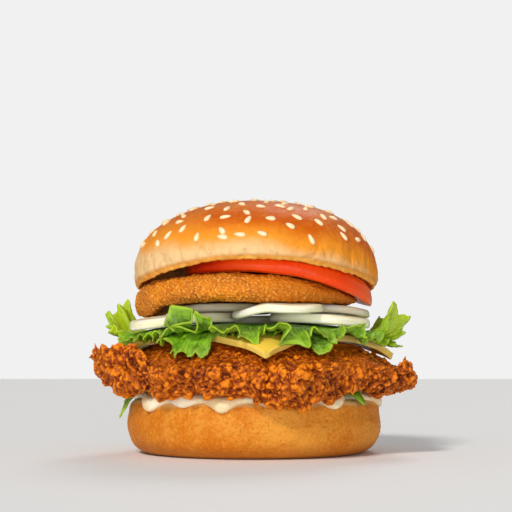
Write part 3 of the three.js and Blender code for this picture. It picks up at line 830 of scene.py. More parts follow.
def ruffled(folds, level, fold_over, seed):
    """The surface of a ruffled leaf whose margin goes through its folds."""
    def surface(share, bearing):
        out = past_flat(share)
        ring = ring_points(bearing)
        away = np.abs((bearing + 180) % 360 - 180)
        tuft = smoothstep(away, 66, 80) * (1 - smoothstep(away, 104, 120))
        reach, height = between(folds, bearing)
        height = height + 1.2 * swell(ring, 2.8, seed + 10)
        height = height + CHEESE_GAP_RISE * nearness(bearing, CHEESE_BEARING, 18)
        reach = reach - CHEESE_GAP_BAY * nearness(bearing, CHEESE_BEARING, 16)
        notches = 0.9 * swell(ring, 1.7, seed + 11) + 0.6 * swell(ring, 3.4, seed + 12) - 0.3
        height = height + 0.3 * np.maximum(0, height - level + 2) * notches
        _, ahead = between(folds, bearing + 0.4)
        _, behind = between(folds, bearing - 0.4)
        shifts = range(-9, 10, 3)
        middle = np.mean([between(folds, bearing + shift)[1] for shift in shifts], axis=0)
        slope = (ahead - behind) / (0.8 * math.pi / 180 * LEAF_RING)
        swing = np.clip(-fold_over * (height - middle) * slope, -4.5, 4.5)
        teeth = (1.1 + 0.5 * tuft) * np.abs(swell(ring, 3.2, seed + 2))
        teeth = teeth + 0.6 * np.abs(swell(ring, 1.4, seed + 3))
        reach = reach + 1.4 + 1.6 * swell(ring, 5, seed + 4) - 2.6 * teeth
        radius = LEAF_FLAT + (reach - LEAF_FLAT) * out
        radius = np.where(share < LEAF_FLAT_SHARE, LEAF_FLAT * share / LEAF_FLAT_SHARE, radius)
        resting = level - sag(radius)
        turned = bearing + np.degrees(swing / LEAF_RING) * out ** 2
        pleat = 2 * math.pi * (bearing * math.radians(LEAF_RING) / 4.4 + 0.9 * swell(ring, 8, seed))
        wave = out ** 2.5 * (1.0 + 0.6 * swell(ring, 7, seed + 1))
        z = resting + (height - resting) * out ** 3 + 1.2 * np.sin(pleat) * wave
        z -= 1.1 * smoothstep(out, 0.86, 1.0) ** 2
        radius = radius + 0.8 * np.cos(pleat) * wave
        points = polar(radius, turned, z)
        crinkle = 0.6 * swell(points, 4.2, seed + 5) + 0.4 * swell(points, 1.9, seed + 6)
        points[:, 2] += crinkle * smoothstep(out, 0.1, 0.5)
        points += polar(0.6 * swell(points, 4, seed + 7) * smoothstep(out, 0.3, 0.9), turned, 0)
        ribs = [row[0] for row in folds]
        vein = branching(share, bearing, ribs, seed + 8)
        # painted light and shade: higher parts of the leaf lighter, its low folds darker; the tufts and a
        # random wander add real tone
        high = smoothstep(z - middle, -2, 7)
        tone_and_light = smoothstep(away, 64, 80) + 0.4 * high * out + 0.4 * swell(points, 8, seed + 9) - 0.15
        return points, {"out": out, "tone_and_light": np.clip(tone_and_light, 0, 1), "vein": vein}
    return surface


def upper_folds():
    """The upper leaf's folds: those of the front, then even ones round the back."""
    random = lcg(7)
    folds = list(UPPER_FRONT_FOLDS)
    for i in range(13):
        reach = 52 + 3 * next(random)
        height = 50 + 4 * next(random) if i % 2 == 0 else 44.5 + 2 * next(random)
        folds.append([104 + i * 11.7, reach, height])
    return folds


def lower_folds(level):
    """The lower leaf's folds, tucked flat under the upper one except where it hangs out."""
    def tucked(bearing, reach=45):
        return [bearing, reach, level - sag(reach)]
    return [
        [-105, 57, 44], [-95, 53, 42], tucked(-86), tucked(-70), tucked(-55), [-41, 50, 43.4],
        [-30, 53, 38.7], [-22, 53, 38.7], tucked(-16, 43), tucked(4, 43), tucked(23, 41), [29, 54.5, 40.3],
        tucked(36), tucked(50, 43), tucked(68), [86, 57, 43], tucked(97), tucked(115),
        [127.4, 53, 39.5], tucked(139), [150.8, 53, 39], tucked(163), tucked(180), tucked(198),
        tucked(209), [221, 53, 39], tucked(233), [244.4, 52, 40.5],
    ]


def leaf_levels():
    """Heights of the middle surfaces of the lower and upper ruffled leaves."""
    cheese_floor = DECK_LEVEL + CURVED_GAP
    leaf_depth = sizes().leaf_depth / MM
    lower = cheese_floor + sizes().cheese_depth / MM + CURVED_GAP + leaf_depth / 2
    return lower, lower + leaf_depth + CURVED_GAP


class BURGER_OT_lettuce(Operator):
    """The two ruffled leaves over the cheese"""

    bl_idname = "burger.lettuce"
    bl_label = "Lettuce"

    def execute(self, context):
        lower, upper = leaf_levels()
        depth = sizes().leaf_depth
        layers = [
            ("leaf_under", lower_folds(lower), lower, 0.5, 0.3, 60, "lettuce_lower"),
            ("leaf_over", upper_folds(), upper, 0.65, 0.75, 80, "lettuce_upper"),
        ]
        for name, folds, level, fold_over, tuft, seed, cad_node in layers:
            piece = leaf_sheet(960, 40, ruffled(folds, level, fold_over, seed))
            modify(piece, "SOLIDIFY", thickness=depth * 0.8, offset=0)
            finished(piece, name, leaf_material(name + "_green", tuft), "lettuce", cad_node)
        return {"FINISHED"}


class BURGER_OT_hanging_leaf(Operator):
    """The leaf under the fillet, whose tips hang over the heel"""

    bl_idname = "burger.hanging_leaf"
    bl_label = "Hanging leaf"

    def execute(self, context):
        def surface(share, bearing):
            reach, = between(HANGING_FOLDS, bearing)
            ring = ring_points(bearing)
            out = smoothstep(share * reach, HANGING_FLAT, HANGING_FLAT + 8)
            reach = reach + 0.6 * swell(ring, 2.5, 41) * smoothstep(reach, 43, 48)
            radius = share * reach
            over = np.maximum(0, radius - HANGING_FLAT) / HANGING_SPAN
            points = polar(radius, bearing, HANGING_LEVEL - HANGING_DROP * over ** 2)
            points += polar(0.7 * swell(points, 3, 42) * out, bearing, 0)
            tips = [row[0] for row in HANGING_FOLDS if row[1] > 50]
            vein = np.zeros(len(share))
            for tip in tips:
                vein = np.maximum(vein, np.exp(-((bearing - tip) / 0.5) ** 2))
            tone_and_light = 0.35 + 0.4 * swell(points, 6, 43)
            return points, {"out": share * out, "tone_and_light": np.clip(tone_and_light, 0, 1), "vein": vein * out}

        piece = leaf_sheet(720, 40, surface)
        modify(piece, "SOLIDIFY", thickness=0.7 * MM, offset=0)
        finished(piece, "leaf_tips", leaf_material("leaf_tips_green", 0.2), "lettuce", "leaf_hanging")
        return {"FINISHED"}


# Fried fillet

def cavity(mesh, rounds):
    """How far each vertex stands above its smoothed surroundings, in millimetres."""
    points = points_of(mesh)
    normal = normals_of(mesh)
    edges = np.empty(len(mesh.edges) * 2, dtype=np.int32)
    mesh.edges.foreach_get("vertices", edges)
    first, second = edges.reshape(-1, 2).T
    count = np.bincount(first, minlength=len(points)) + np.bincount(second, minlength=len(points))
    smooth = points.copy()
    for _ in range(rounds):
        total = np.empty_like(smooth)
        for axis in range(3):
            total[:, axis] = (np.bincount(first, smooth[second, axis], len(points))
                              + np.bincount(second, smooth[first, axis], len(points)))
        smooth = 0.5 * smooth + 0.5 * total / count[:, None]
    return np.einsum("ij,ij->i", points - smooth, normal)


def triangles_of(mesh):
    """The corners of the mesh's triangles."""
    mesh.calc_loop_triangles()
    flat = np.empty(len(mesh.loop_triangles) * 3, dtype=np.int32)
    mesh.loop_triangles.foreach_get("vertices", flat)
    return flat.reshape(-1, 3)


def scattered(mesh, count, wanted, rng):
    """Random places on the mesh with their normals, spread by area where wanted(points) is true."""
    points = points_of(mesh)
    faces = triangles_of(mesh)
    corners = points[faces]
    cross = np.cross(corners[:, 1] - corners[:, 0], corners[:, 2] - corners[:, 0])
    area = np.linalg.norm(cross, axis=1)
    weight = area * wanted(corners.mean(axis=1))
    chosen = rng.choice(len(faces), count, p=weight / weight.sum())
    first, second = np.sqrt(rng.random(count)), rng.random(count)
    share = np.stack([1 - first, first * (1 - second), first * second], axis=1)
    places = np.einsum("ij,ijk->ik", share, corners[chosen])
    return places, cross[chosen] / area[chosen][:, None]


def ball(detail):
    """Points and faces of a small ball primitive."""
    bpy.ops.object.select_all(action="DESELECT")
    bpy.ops.mesh.primitive_ico_sphere_add(subdivisions=detail, radius=1, location=(0, 0, 0))
    made = bpy.context.object
    points = points_of(made.data) * MM
    faces = triangles_of(made.data)
    bpy.data.objects.remove(made)
    return points, faces


def frames(normal, turn):
    """Side, along and outward directions at each normal, turned about it."""
    helper = np.where(np.abs(normal[:, 2:3]) < 0.9, [[0.0, 0.0, 1.0]], [[1.0, 0.0, 0.0]])
    side = np.cross(helper, normal)
    side /= np.linalg.norm(side, axis=1)[:, None]
    along = np.cross(normal, side)
    c, s = np.cos(turn)[:, None], np.sin(turn)[:, None]
    return side * c + along * s, along * c - side * s, normal


def joined_lumps(name, shape, places, axes, scale, rough, rng):
    """One mesh of many copies of a shape, each with its own size, turn and roughness."""
    base, faces = shape
    count = len(places)
    jitter = 1 + rough * rng.uniform(-1, 1, size=(count, len(base)))
    local = base[None] * jitter[..., None] * scale[:, None, :]
    points = places[:, None, :] + sum(local[..., i:i + 1] * axes[i][:, None, :] for i in range(3))
    index = faces[None] + (np.arange(count) * len(base))[:, None, None]
    return new_mesh_object(name, points.reshape(-1, 3), index.reshape(-1, 3))


def crust_material():
    """Fried crust: a deep orange-brown body, with near-black painted shade in its hollows and crevices and
    bright orange painted light on its crests and broad bumps.
    """
    tones = colours()
    material, tree, shader, place = new_material("fried_crust")
    crest = named(tree, "crest")
    broad = named(tree, "broad")
    mottled = mottle(tree, place, tones.crust_mid, (0.44, 0.090, 0.002), 70.0, 900.0, 1.0)
    # painted light: the crests are lit bright orange in the colour
    shade = mix(tree, ramp(tree, crest, -0.02, 0.46), mottled, tones.crust_painted_light)
    # painted shade: the crevices darken towards near-black
    painted_crevice_shade = times(tree, ramp(tree, crest, 0.02, -0.42), 0.9)
    shade = mix(tree, painted_crevice_shade, shade, tones.crust_painted_shade)
    # painted shade: the broad hollows darken as well
    hollow = times(tree, ramp(tree, broad, -0.1, -2.2), 0.7)
    shade = mix(tree, hollow, shade, tones.crust_painted_shade)
    # painted light: the broad bumps are brightened
    painted_bump_light = times(tree, ramp(tree, broad, 0.6, 2.2), 0.3)
    shade = mix(tree, painted_bump_light, shade, tones.crust_painted_light)
    relief, _ = fine_relief(tree, place, 1100.0, 2600.0, 900.0, 0.5, 0.3)
    rough = node(tree, "ShaderNodeMapRange", {0: crest, 1: -0.3, 2: 0.35, 3: 0.6, 4: 0.26}).outputs[0]
    painted(tree, shader, shade, rough, 0.16)
    bump(tree, shader, relief, 0.4)
    return material


def crust_limits(points, rough):
    """The highest and lowest that the rough crust may come, under the cheese and over the sauce."""
    away = from_middle(points)
    bearing = bearing_of(points)
    to_side = 1 - nearness(bearing, 0, 72)
    reach = 62 - 2 * to_side
    reach += (50 - reach) * np.maximum(nearness(bearing, -56, 20), nearness(bearing, 110, 8))
    under_cheese = DECK_LEVEL - sag(np.minimum(away, SAG_RADIUS)) + 0.5
    dips = CRUST_DIPS * (1 - rough) * smoothstep(away, 38, 46)
    reach = reach + 1.5 * swell(points, 5, 17)
    ceiling = under_cheese - dips + 12 * smoothstep(away, reach - 1, reach + 6)
    over_leaf = np.maximum(nearness(bearing, -75, 16), nearness(bearing, 53, 14))
    floor = np.interp(away, [46, 49.5, 52.5, 58], [25.1, 22.7, 17.8, 12])
    return ceiling, floor + 1.5 * over_leaf * smoothstep(away, 46, 50)


class BURGER_OT_fillet(Operator):
    """The fried fillet: the solid's form under nuggets, knobs and crevices of crust"""

    bl_idname = "burger.fillet"
    bl_label = "Fried fillet"

    def execute(self, context):
        rng = np.random.default_rng(11)
        body = bpy.data.objects.new("fried_fillet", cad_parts["fillet"].data.copy())
        bpy.context.scene.collection.objects.link(body)
        merge(body)
        modify(body, "REMESH", mode="VOXEL", voxel_size=1.6 * MM)
        modify(body, "SMOOTH", factor=0.5, iterations=5)
        points = points_of(body.data)
        crust = smoothstep(from_middle(points), CRUST_FROM, 47)
        set_points(body.data, points - normals_of(body.data) * (CRUST_SHRINK * crust)[:, None])

        def open_crust(points):
            return 0.01 + smoothstep(from_middle(points), 43, 48)

        count = sizes().nugget_count
        nugget = sizes().nugget / MM
        places, normal = scattered(body.data, count, open_crust, rng)
        size = np.minimum(nugget * (0.3 + rng.gamma(1.4, 0.3, count)), 1.6 * nugget)
        size *= 1 + 0.6 * swell(places, 9, 12)
        tilt = normal + 0.5 * rng.normal(size=(count, 3))
        tilt /= np.linalg.norm(tilt, axis=1)[:, None]
        axes = frames(tilt, rng.uniform(0, 2 * math.pi, count))
        stretch = rng.uniform(0.6, 1.5, size=(count, 3)) * [1.1, 1.0, 0.8]
        middle = places + normal * (0.4 - size * rng.uniform(0, 0.6, count))[:, None]
        lumps = joined_lumps("lumps", ball(2), middle, axes, size[:, None] * stretch, 0.16, rng)
        only(body)
        lumps.select_set(True)
        bpy.ops.object.join()
        voxel = 0.6
        modify(body, "REMESH", mode="VOXEL", voxel_size=voxel * MM)
        only(body)
        mesh = body.data
        hidden = from_middle(points_of(mesh)) < 41
        mesh.vertices.foreach_set("select", hidden)
        mesh.update()
        bpy.ops.object.mode_set(mode="EDIT")
        bpy.ops.mesh.select_mode(type="VERT")
        bpy.ops.mesh.decimate(ratio=0.06)
        bpy.ops.object.mode_set(mode="OBJECT")

        points = points_of(mesh)
        normal = normals_of(mesh)
        crust = smoothstep(from_middle(points), CRUST_FROM, 46)
        bends = np.stack([swell(points + 17 * i, 2.6, 20 + i) for i in range(3)], axis=1)
        points += CRUST_WARP * crust[:, None] * bends
        large, middling, small = (pebbles(points, pitch, round(10 * pitch)) for pitch in (12, 5, 2.4))
        creased = 1 - np.exp(-3 * np.abs(swell(points, 2.0, 16)))
        knobbly = 1 - np.exp(-3 * np.abs(swell(points, 1.2, 18)))
        rough = (1.6 * large + 0.9 * middling + 0.6 * small + 0.7 * creased + 0.4 * knobbly) / 4.2
        broad = 0.8 * swell(points, 15, 14)
        points += normal * (crust * (CRUST_HEIGHT * rough + broad - CRUST_SINK))[:, None]
        beyond = np.maximum(0, np.abs(points[:, 0]) - TIP_FROM)
        points[:, 0] -= TIP_DRAW_IN * np.sign(points[:, 0]) * beyond
        ceiling, floor = crust_limits(points, rough)
        upper = points[:, 2] > CRUST_WAIST
        points[:, 2] = np.where(upper, np.minimum(points[:, 2], ceiling), np.maximum(points[:, 2], floor))
        set_points(mesh, points)
        attribute(mesh, "crest", cavity(mesh, 8))
        attribute(mesh, "broad", cavity(mesh, 90))
        finished(body, "fried_fillet", crust_material(), "fried_crust", "fillet")
        return {"FINISHED"}


# Cheese

def cheese_material():
    """Smooth soft cheese, a little lighter along its cut edges."""
    material, tree, shader, place = new_material("cheese_slice")
    edge = named(tree, "edge")
    mottled = mottle(tree, place, colours().cheese, (0.90, 0.62, 0.085), 60.0, 500.0, 0.7)
    shade = mix(tree, times(tree, edge, 0.6), mottled, (0.93, 0.70, 0.17))
    painted(tree, shader, shade, 0.34, 0.3)
    soften(shader, 0.2, (1.0, 0.6, 0.1), 2.0)
    relief, _ = fine_relief(tree, place, 130.0, 1500.0, 600.0, 0.08, 0.0)
    bump(tree, shader, relief, 0.2)
    return material


class BURGER_OT_cheese(Operator):
    """The cheese slice, drooping over the fillet at its corners"""

    bl_idname = "burger.cheese"
    bl_label = "Cheese"

    def execute(self, context):
        side = sizes().cheese_side / MM
        depth = sizes().cheese_depth / MM
        bpy.ops.object.select_all(action="DESELECT")
        bpy.ops.mesh.primitive_grid_add(
            x_subdivisions=110, y_subdivisions=110, size=1, location=(0, 0, 0),
        )
        piece = bpy.context.object
        unit = points_of(piece.data) * MM
        turn = math.radians(49.5)
        across, along = math.cos(turn), math.sin(turn)
        flat = unit[:, :2] * side @ np.array([[across, along], [-along, across]])
        away = from_middle(flat)
        widest = side / math.sqrt(2) - 3 * (math.sqrt(2) - 1)
        kept = np.minimum(1, widest / np.maximum(away, 1e-6))
        away = away * kept
        flat = flat * kept[:, None]
        points = np.column_stack([flat, 0 * away])
        soft = 0.7 * swell(points, 14, 21) * smoothstep(away, 36, 52)
        points[:, 2] = DECK_LEVEL + CURVED_GAP + depth / 2 - sag(away) + soft
        set_points(piece.data, points)
        rim = np.max(np.abs(unit[:, :2]), axis=1) > 0.4999
        attribute(piece.data, "edge", rim.astype(float))
        modify(piece, "SOLIDIFY", thickness=depth * MM, offset=0, use_even_offset=True)
        sharp = math.radians(50)
        modify(piece, "BEVEL", width=0.45 * MM, segments=3, limit_method="ANGLE", angle_limit=sharp)
        finished(piece, "cheese_slice", cheese_material(), "cheese", "cheese")
        return {"FINISHED"}


# Onion

def onion_material():
    """Moist pale onion with fine lines round its edge."""
    material, tree, shader, place = new_material("onion_flesh")
    groove = named(tree, "groove")
    stretched = node(tree, "ShaderNodeMapping", {"Vector": place, "Scale": (1.0, 1.0, 9.0)}).outputs[0]
    lines = noise(tree, stretched, 90.0, 4.0)
    shade = mix(tree, ramp(tree, lines, 0.35, 0.7), colours().onion, (0.93, 0.91, 0.78))
    shade = mix(tree, times(tree, groove, 0.4), shade, (0.74, 0.69, 0.42))
    painted(tree, shader, shade, 0.28, 0.35)
    soften(shader, 0.3, (1.0, 0.95, 0.6), 3.0)
    height = minus(tree, lines, times(tree, groove, 0.6))
    bump(tree, shader, height, 0.15)
    return material


def ring_lines(share, radius, width):
    """Lines between an onion's rings, 1 on a line and 0 between."""
    away = (share * radius + 0.8) % ONION_RING_PITCH - 1.5
    return np.exp(-(away / width) ** 2) * (share < 0.95)


def onion_round(x, y, radius, is_upper, dip, seed):
    """One onion round with its rings, in the lower or the upper layer."""
    _, upper_leaf = leaf_levels()
    floor = upper_leaf + sizes().leaf_depth / MM / 2 + GAP
    depth = ONION_DEPTH
    if is_upper:
        floor += ONION_DEPTH + CURVED_GAP
        depth = ONION_UPPER_DEPTH
    rng = np.random.default_rng(seed)
    phase = rng.uniform(0, 360)

    def place(down, bearing):
        share = np.interp(down, [0, 0.40, 0.44, 0.56, 0.60, 1], [0, 0.975, 1, 1, 0.975, 0])
        level = np.interp(down, [0, 0.40, 0.44, 0.56, 0.60, 1], [1, 1, 0.82, 0.18, 0, 0])
        bulge = 1 + 0.012 * np.sin(np.pi * level) * (share > 0.97)
        uneven = 1 + 0.02 * np.cos(np.radians(2 * (bearing - phase)))
        points = polar(share * (radius - 0.2) * bulge * uneven, bearing, 0, x, y)
        droop = ONION_DROOP * (from_middle(points) / ONION_DROOP_RADIUS) ** 5
        dipping = dip * smoothstep(x - points[:, 0], 0.2 * radius, radius)
        rings = 0.35 * ring_lines(share, radius, 0.28)
        lift = np.where(level > 0.5, -rings, rings)
        points[:, 2] = floor + level * depth - droop - dipping + lift + 0.18 * swell(points, 9, seed)
        return points

    piece = round_piece(160, 110, place)
    points = points_of(piece.data)
    share = from_middle(points, x, y) / radius
    attribute(piece.data, "groove", ring_lines(share, radius, 0.3))
    return piece


class BURGER_OT_onions(Operator):
    """The raw onion rounds, in two layers"""

    bl_idname = "burger.onions"
    bl_label = "Onions"

    def execute(self, context):
        material = onion_material()
        for seed, (cad_node, x, y, radius, is_upper, dip) in enumerate(ONIONS):
            piece = onion_round(x, y, radius, is_upper, dip, seed + 50)
            finished(piece, cad_node + "_round", material, "onion", cad_node)
        return {"FINISHED"}


# Breaded patty

def patty_floor():
    """Height of the patty's underside at its middle."""
    _, upper_leaf = leaf_levels()
    onion_floor = upper_leaf + sizes().leaf_depth / MM / 2 + GAP
    return onion_floor + ONION_DEPTH + CURVED_GAP + ONION_UPPER_DEPTH + 2 * GAP


def patty_faces(points):
    """Heights of the patty's two faces, and how far out of its middle each point is."""
    radius = sizes().patty_radius / MM
    along = (points[:, 0] - PATTY_X) / radius
    out = from_middle(points, PATTY_X, PATTY_Y) / radius
    drop = PATTY_RIM_DROP * out ** 4
    side = np.where(along > 0, PATTY_RIGHT_DROP * along ** 2, PATTY_LEFT_DROP * (-along) ** 3)
    upper = patty_floor() + PATTY_DEPTH - drop - side
    left_sag = PATTY_LEFT_SAG * smoothstep(-along, 0.68, 0.84)
    lower = patty_floor() - drop + PATTY_FLOOR_TILT * along ** 3 - left_sag
    return upper, lower, out


def patty_material():
    """Fine golden breadcrumbs with browner ones among them, painted light on their crests, painted shade in
    the crevices and painted shade towards the right.
    """
    tones = colours()
    material, tree, shader, place = new_material("crumb_crust")
    crest = named(tree, "crest")
    mottled = mottle(tree, place, tones.patty_gold, (0.52, 0.150, 0.008), 95.0, 800.0, 1.0)
    cells = node(tree, "ShaderNodeTexVoronoi", {"Vector": place, "Scale": 700.0})
    brown = ramp(tree, cell_number(tree, cells), 0.72, 0.95)
    shade = mix(tree, times(tree, brown, 0.35), mottled, tones.patty_brown_and_shade)
    # painted light: the crumbs' crests lighter
    shade = mix(tree, times(tree, ramp(tree, crest, 0.02, 0.2), 0.8), shade, (0.86, 0.44, 0.085))
    # painted shade: the crevices darker, in the darker crumb colour
    shade = mix(tree, ramp(tree, crest, -0.03, -0.3), shade, tones.patty_brown_and_shade)
    # painted shade: the patty darker towards its right side
    across = axis_of(tree, place, "X")
    painted_right_shade = times(tree, ramp(tree, across, -0.01, 0.03), 0.75)
    shade = mix(tree, painted_right_shade, shade, (0.50, 0.130, 0.003))
    painted(tree, shader, shade, 0.55, 0.18)
    relief, _ = fine_relief(tree, place, 700.0, 2000.0, 900.0, 0.6, 0.5)
    bump(tree, shader, relief, 0.4)
    return material


class BURGER_OT_patty(Operator):
    """The breaded patty and its fine crumbs"""

    bl_idname = "burger.patty"
    bl_label = "Patty"

    def execute(self, context):
        radius = sizes().patty_radius / MM

        def place(down, bearing):
            share = np.interp(np.minimum(down, 1 - down), [0, 0.1, 0.5], [0, 0.80, 1])
            share = np.where(share > 0.8, 0.8 + 0.2 * np.sin((share - 0.8) / 0.2 * math.pi / 2), share)
            points = polar(share * radius, bearing, 0, PATTY_X, PATTY_Y)
            upper, lower, _ = patty_faces(points)
            edge = PATTY_EDGE / radius
            in_edge = np.clip((share - (1 - edge)) / edge, 0, 1)
            half = (upper - lower) / 2 * np.sqrt(np.clip(1 - in_edge ** 2, 0, 1))
            points[:, 2] = (upper + lower) / 2 + np.where(down < 0.5, half, -half)
            return points

        piece = round_piece(620, 130, place)
        mesh = piece.data
        points = points_of(mesh)
        normal = normals_of(mesh)
        crumb = sizes().crumb / MM
        rim = smoothstep(from_middle(points, PATTY_X, PATTY_Y), 30, 38)
        lumps = 1.2 * swell(points, 8, 71) + 0.4 * swell(points, 3.2, 72)
        crumbs = 1.0 * pebbles(points, 1.5, 73) + 0.8 * swell(points, 0.9, 74)
        set_points(mesh, points + normal * (crumb * (0.3 + 0.7 * rim) * (lumps + crumbs - 0.6))[:, None])
        attribute(mesh, "crest", cavity(mesh, 8))
        finished(piece, "breaded_patty", patty_material(), "crumb_crust", "patty")
        return {"FINISHED"}


# Tomato

def tomato_material():
    """Wet tomato: glossy skin round the side, paler flesh on the cut faces, and painted light making its
    right end brighter orange.
    """
    material, tree, shader, place = new_material("tomato_round")
    skin = named(tree, "skin")
    mottled = mottle(tree, place, colours().tomato, (0.90, 0.085, 0.005), 60.0, 900.0, 0.8)
    flesh = mix(tree, 0.6, mottled, (0.90, 0.14, 0.018))
    shade = mix(tree, skin, flesh, mottled)
    # painted light: brighter orange towards the right end
    across = axis_of(tree, place, "X")
    shade = mix(tree, times(tree, ramp(tree, across, 0.025, 0.055), 0.6), shade, (0.97, 0.20, 0.03))
    painted(tree, shader, shade, 0.32, 0.18)
    soften(shader, 0.1, (1.0, 0.12, 0.02), 1.5)
    relief, _ = fine_relief(tree, place, 110.0, 1300.0, 600.0, 0.12, 0.0)
    bump(tree, shader, relief, 0.25)
    return material


class BURGER_OT_tomato(Operator):
    """The thick tomato round, bending over the patty's right edge"""

    bl_idname = "burger.tomato"
    bl_label = "Tomato"

    def execute(self, context):
        radius = sizes().tomato_radius / MM
        floor = patty_floor() + PATTY_DEPTH + CURVED_GAP

        def place(down, bearing):
            share = np.interp(down, [0, 0.32, 0.38, 0.62, 0.68, 1], [0, 0.965, 1, 1, 0.965, 0])
            level = np.interp(down, [0, 0.32, 0.38, 0.62, 0.68, 1], [1, 1, 0.86, 0.14, 0, 0])
            bulge = 1 + 0.022 * np.sin(np.pi * level) * (share > 0.96)
            points = polar(share * (radius - 0.4) * bulge, bearing, 0, TOMATO_X, TOMATO_Y)
            _, _, out = patty_faces(points)
            along = np.maximum(0, (points[:, 0] - PATTY_X) / (sizes().patty_radius / MM))
            overhang = np.maximum(0, (out * sizes().patty_radius / MM - OVERHANG_FROM) / OVERHANG_SPAN)
            right_drop = level * TOMATO_RIGHT_DROP * along ** 3
            right_drop = right_drop + (1 - level) * TOMATO_FLOOR_RIGHT_DROP * along ** 2
            droop = right_drop + OVERHANG_DROP * overhang ** 2
            points[:, 2] = floor + level * TOMATO_DEPTH - PATTY_RIM_DROP * out ** 4 - droop
            return points

        piece = round_piece(240, 120, place)
        mesh = piece.data
        points = points_of(mesh)
        normal = normals_of(mesh)
        away = from_middle(points, TOMATO_X, TOMATO_Y)
        attribute(mesh, "skin", smoothstep(away, radius - 1.4, radius - 0.7))
        uneven = 0.3 * swell(points, 12, 81) + 0.06 * swell(points, 3, 82)
        set_points(mesh, points + normal * uneven[:, None])
        finished(piece, "tomato_round", tomato_material(), "tomato", "tomato")
        return {"FINISHED"}


# Bun crown and its seeds

def rim_height(bearing):
    """Height of the crown's rim at a bearing."""
    turned = np.radians(bearing)
    back = (1 - np.cos(turned)) / 2
    return CROWN_FRONT_RIM - CROWN_SIDE_DROP * np.sin(turned) ** 2 - CROWN_BACK_DROP * back ** 2


def crown_skin(down, bearing):
    """Points on the crown's skin by their angle down from the top, in radians."""
    widest = rim_height(bearing) + CROWN_CURL
    power = 2 / CROWN_ROUNDNESS
    radius = sizes().crown_radius / MM * np.sin(down) ** power
    top = sizes().crown_top / MM
    return polar(radius, bearing, widest + (top - widest) * np.clip(np.cos(down), 0, 1) ** power, CROWN_X)


def crown_material():
    """Browned crust, golden down the side and pale at the rim, toasted under it; painted light makes its
    left side paler and more golden, and painted shade darkens its wrinkles.
    """
    tones = colours()
    material, tree, shader, place = new_material("bread_crown")
    depth = named(tree, "below")
    under = named(tree, "under")
    wander = noise(tree, place, 42.0, 4.0)
    shifted = plus(tree, depth, times(tree, minus(tree, wander, 0.5), 0.45))
    # painted light: paler and more golden towards the left, browner towards the right
    across = axis_of(tree, place, "X")
    shifted = minus(tree, shifted, times(tree, across, 3.2))
    mottled = mottle(tree, place, tones.crown_brown, (0.70, 0.20, 0.018), 60.0, 500.0, 0.9)
    shade = mix(tree, ramp(tree, shifted, 0.36, 0.74), mottled, tones.crown_gold)
    shade = mix(tree, ramp(tree, shifted, 0.68, 0.92), shade, tones.crown_pale)
    streaks = node(tree, "ShaderNodeMapping", {"Vector": place, "Scale": (1.0, 1.0, 0.7)}).outputs[0]
    creases = noise(tree, streaks, 420.0, 5.0)
    low = ramp(tree, depth, 0.5, 0.85)
    crease = times(tree, minus(tree, 1.0, ramp(tree, creases, 0.36, 0.45)), low)
    # painted shade: the wrinkles darker and browner in their creases
    shade = mix(tree, times(tree, crease, 0.3), shade, (0.66, 0.30, 0.075))
    edge = times(tree, ramp(tree, depth, 0.91, 0.97), 0.9)
    shade = mix(tree, edge, shade, (0.62, 0.225, 0.025))
    relief, _ = fine_relief(tree, place, 150.0, 1500.0, 700.0, 0.16, 0.3)
    toast = mottle(tree, place, (0.80, 0.31, 0.035), (0.92, 0.46, 0.090), 260.0, 900.0, 1.0)
    shade = mix(tree, under, shade, toast)
    gloss = node(tree, "ShaderNodeMapRange", {0: shifted, 1: 0.2, 2: 0.85, 3: 0.42, 4: 0.62}).outputs[0]
    painted(tree, shader, shade, gloss, 0.08)
    height = minus(tree, relief, times(tree, crease, 0.3))
    bump(tree, shader, height, 0.4)
    return material


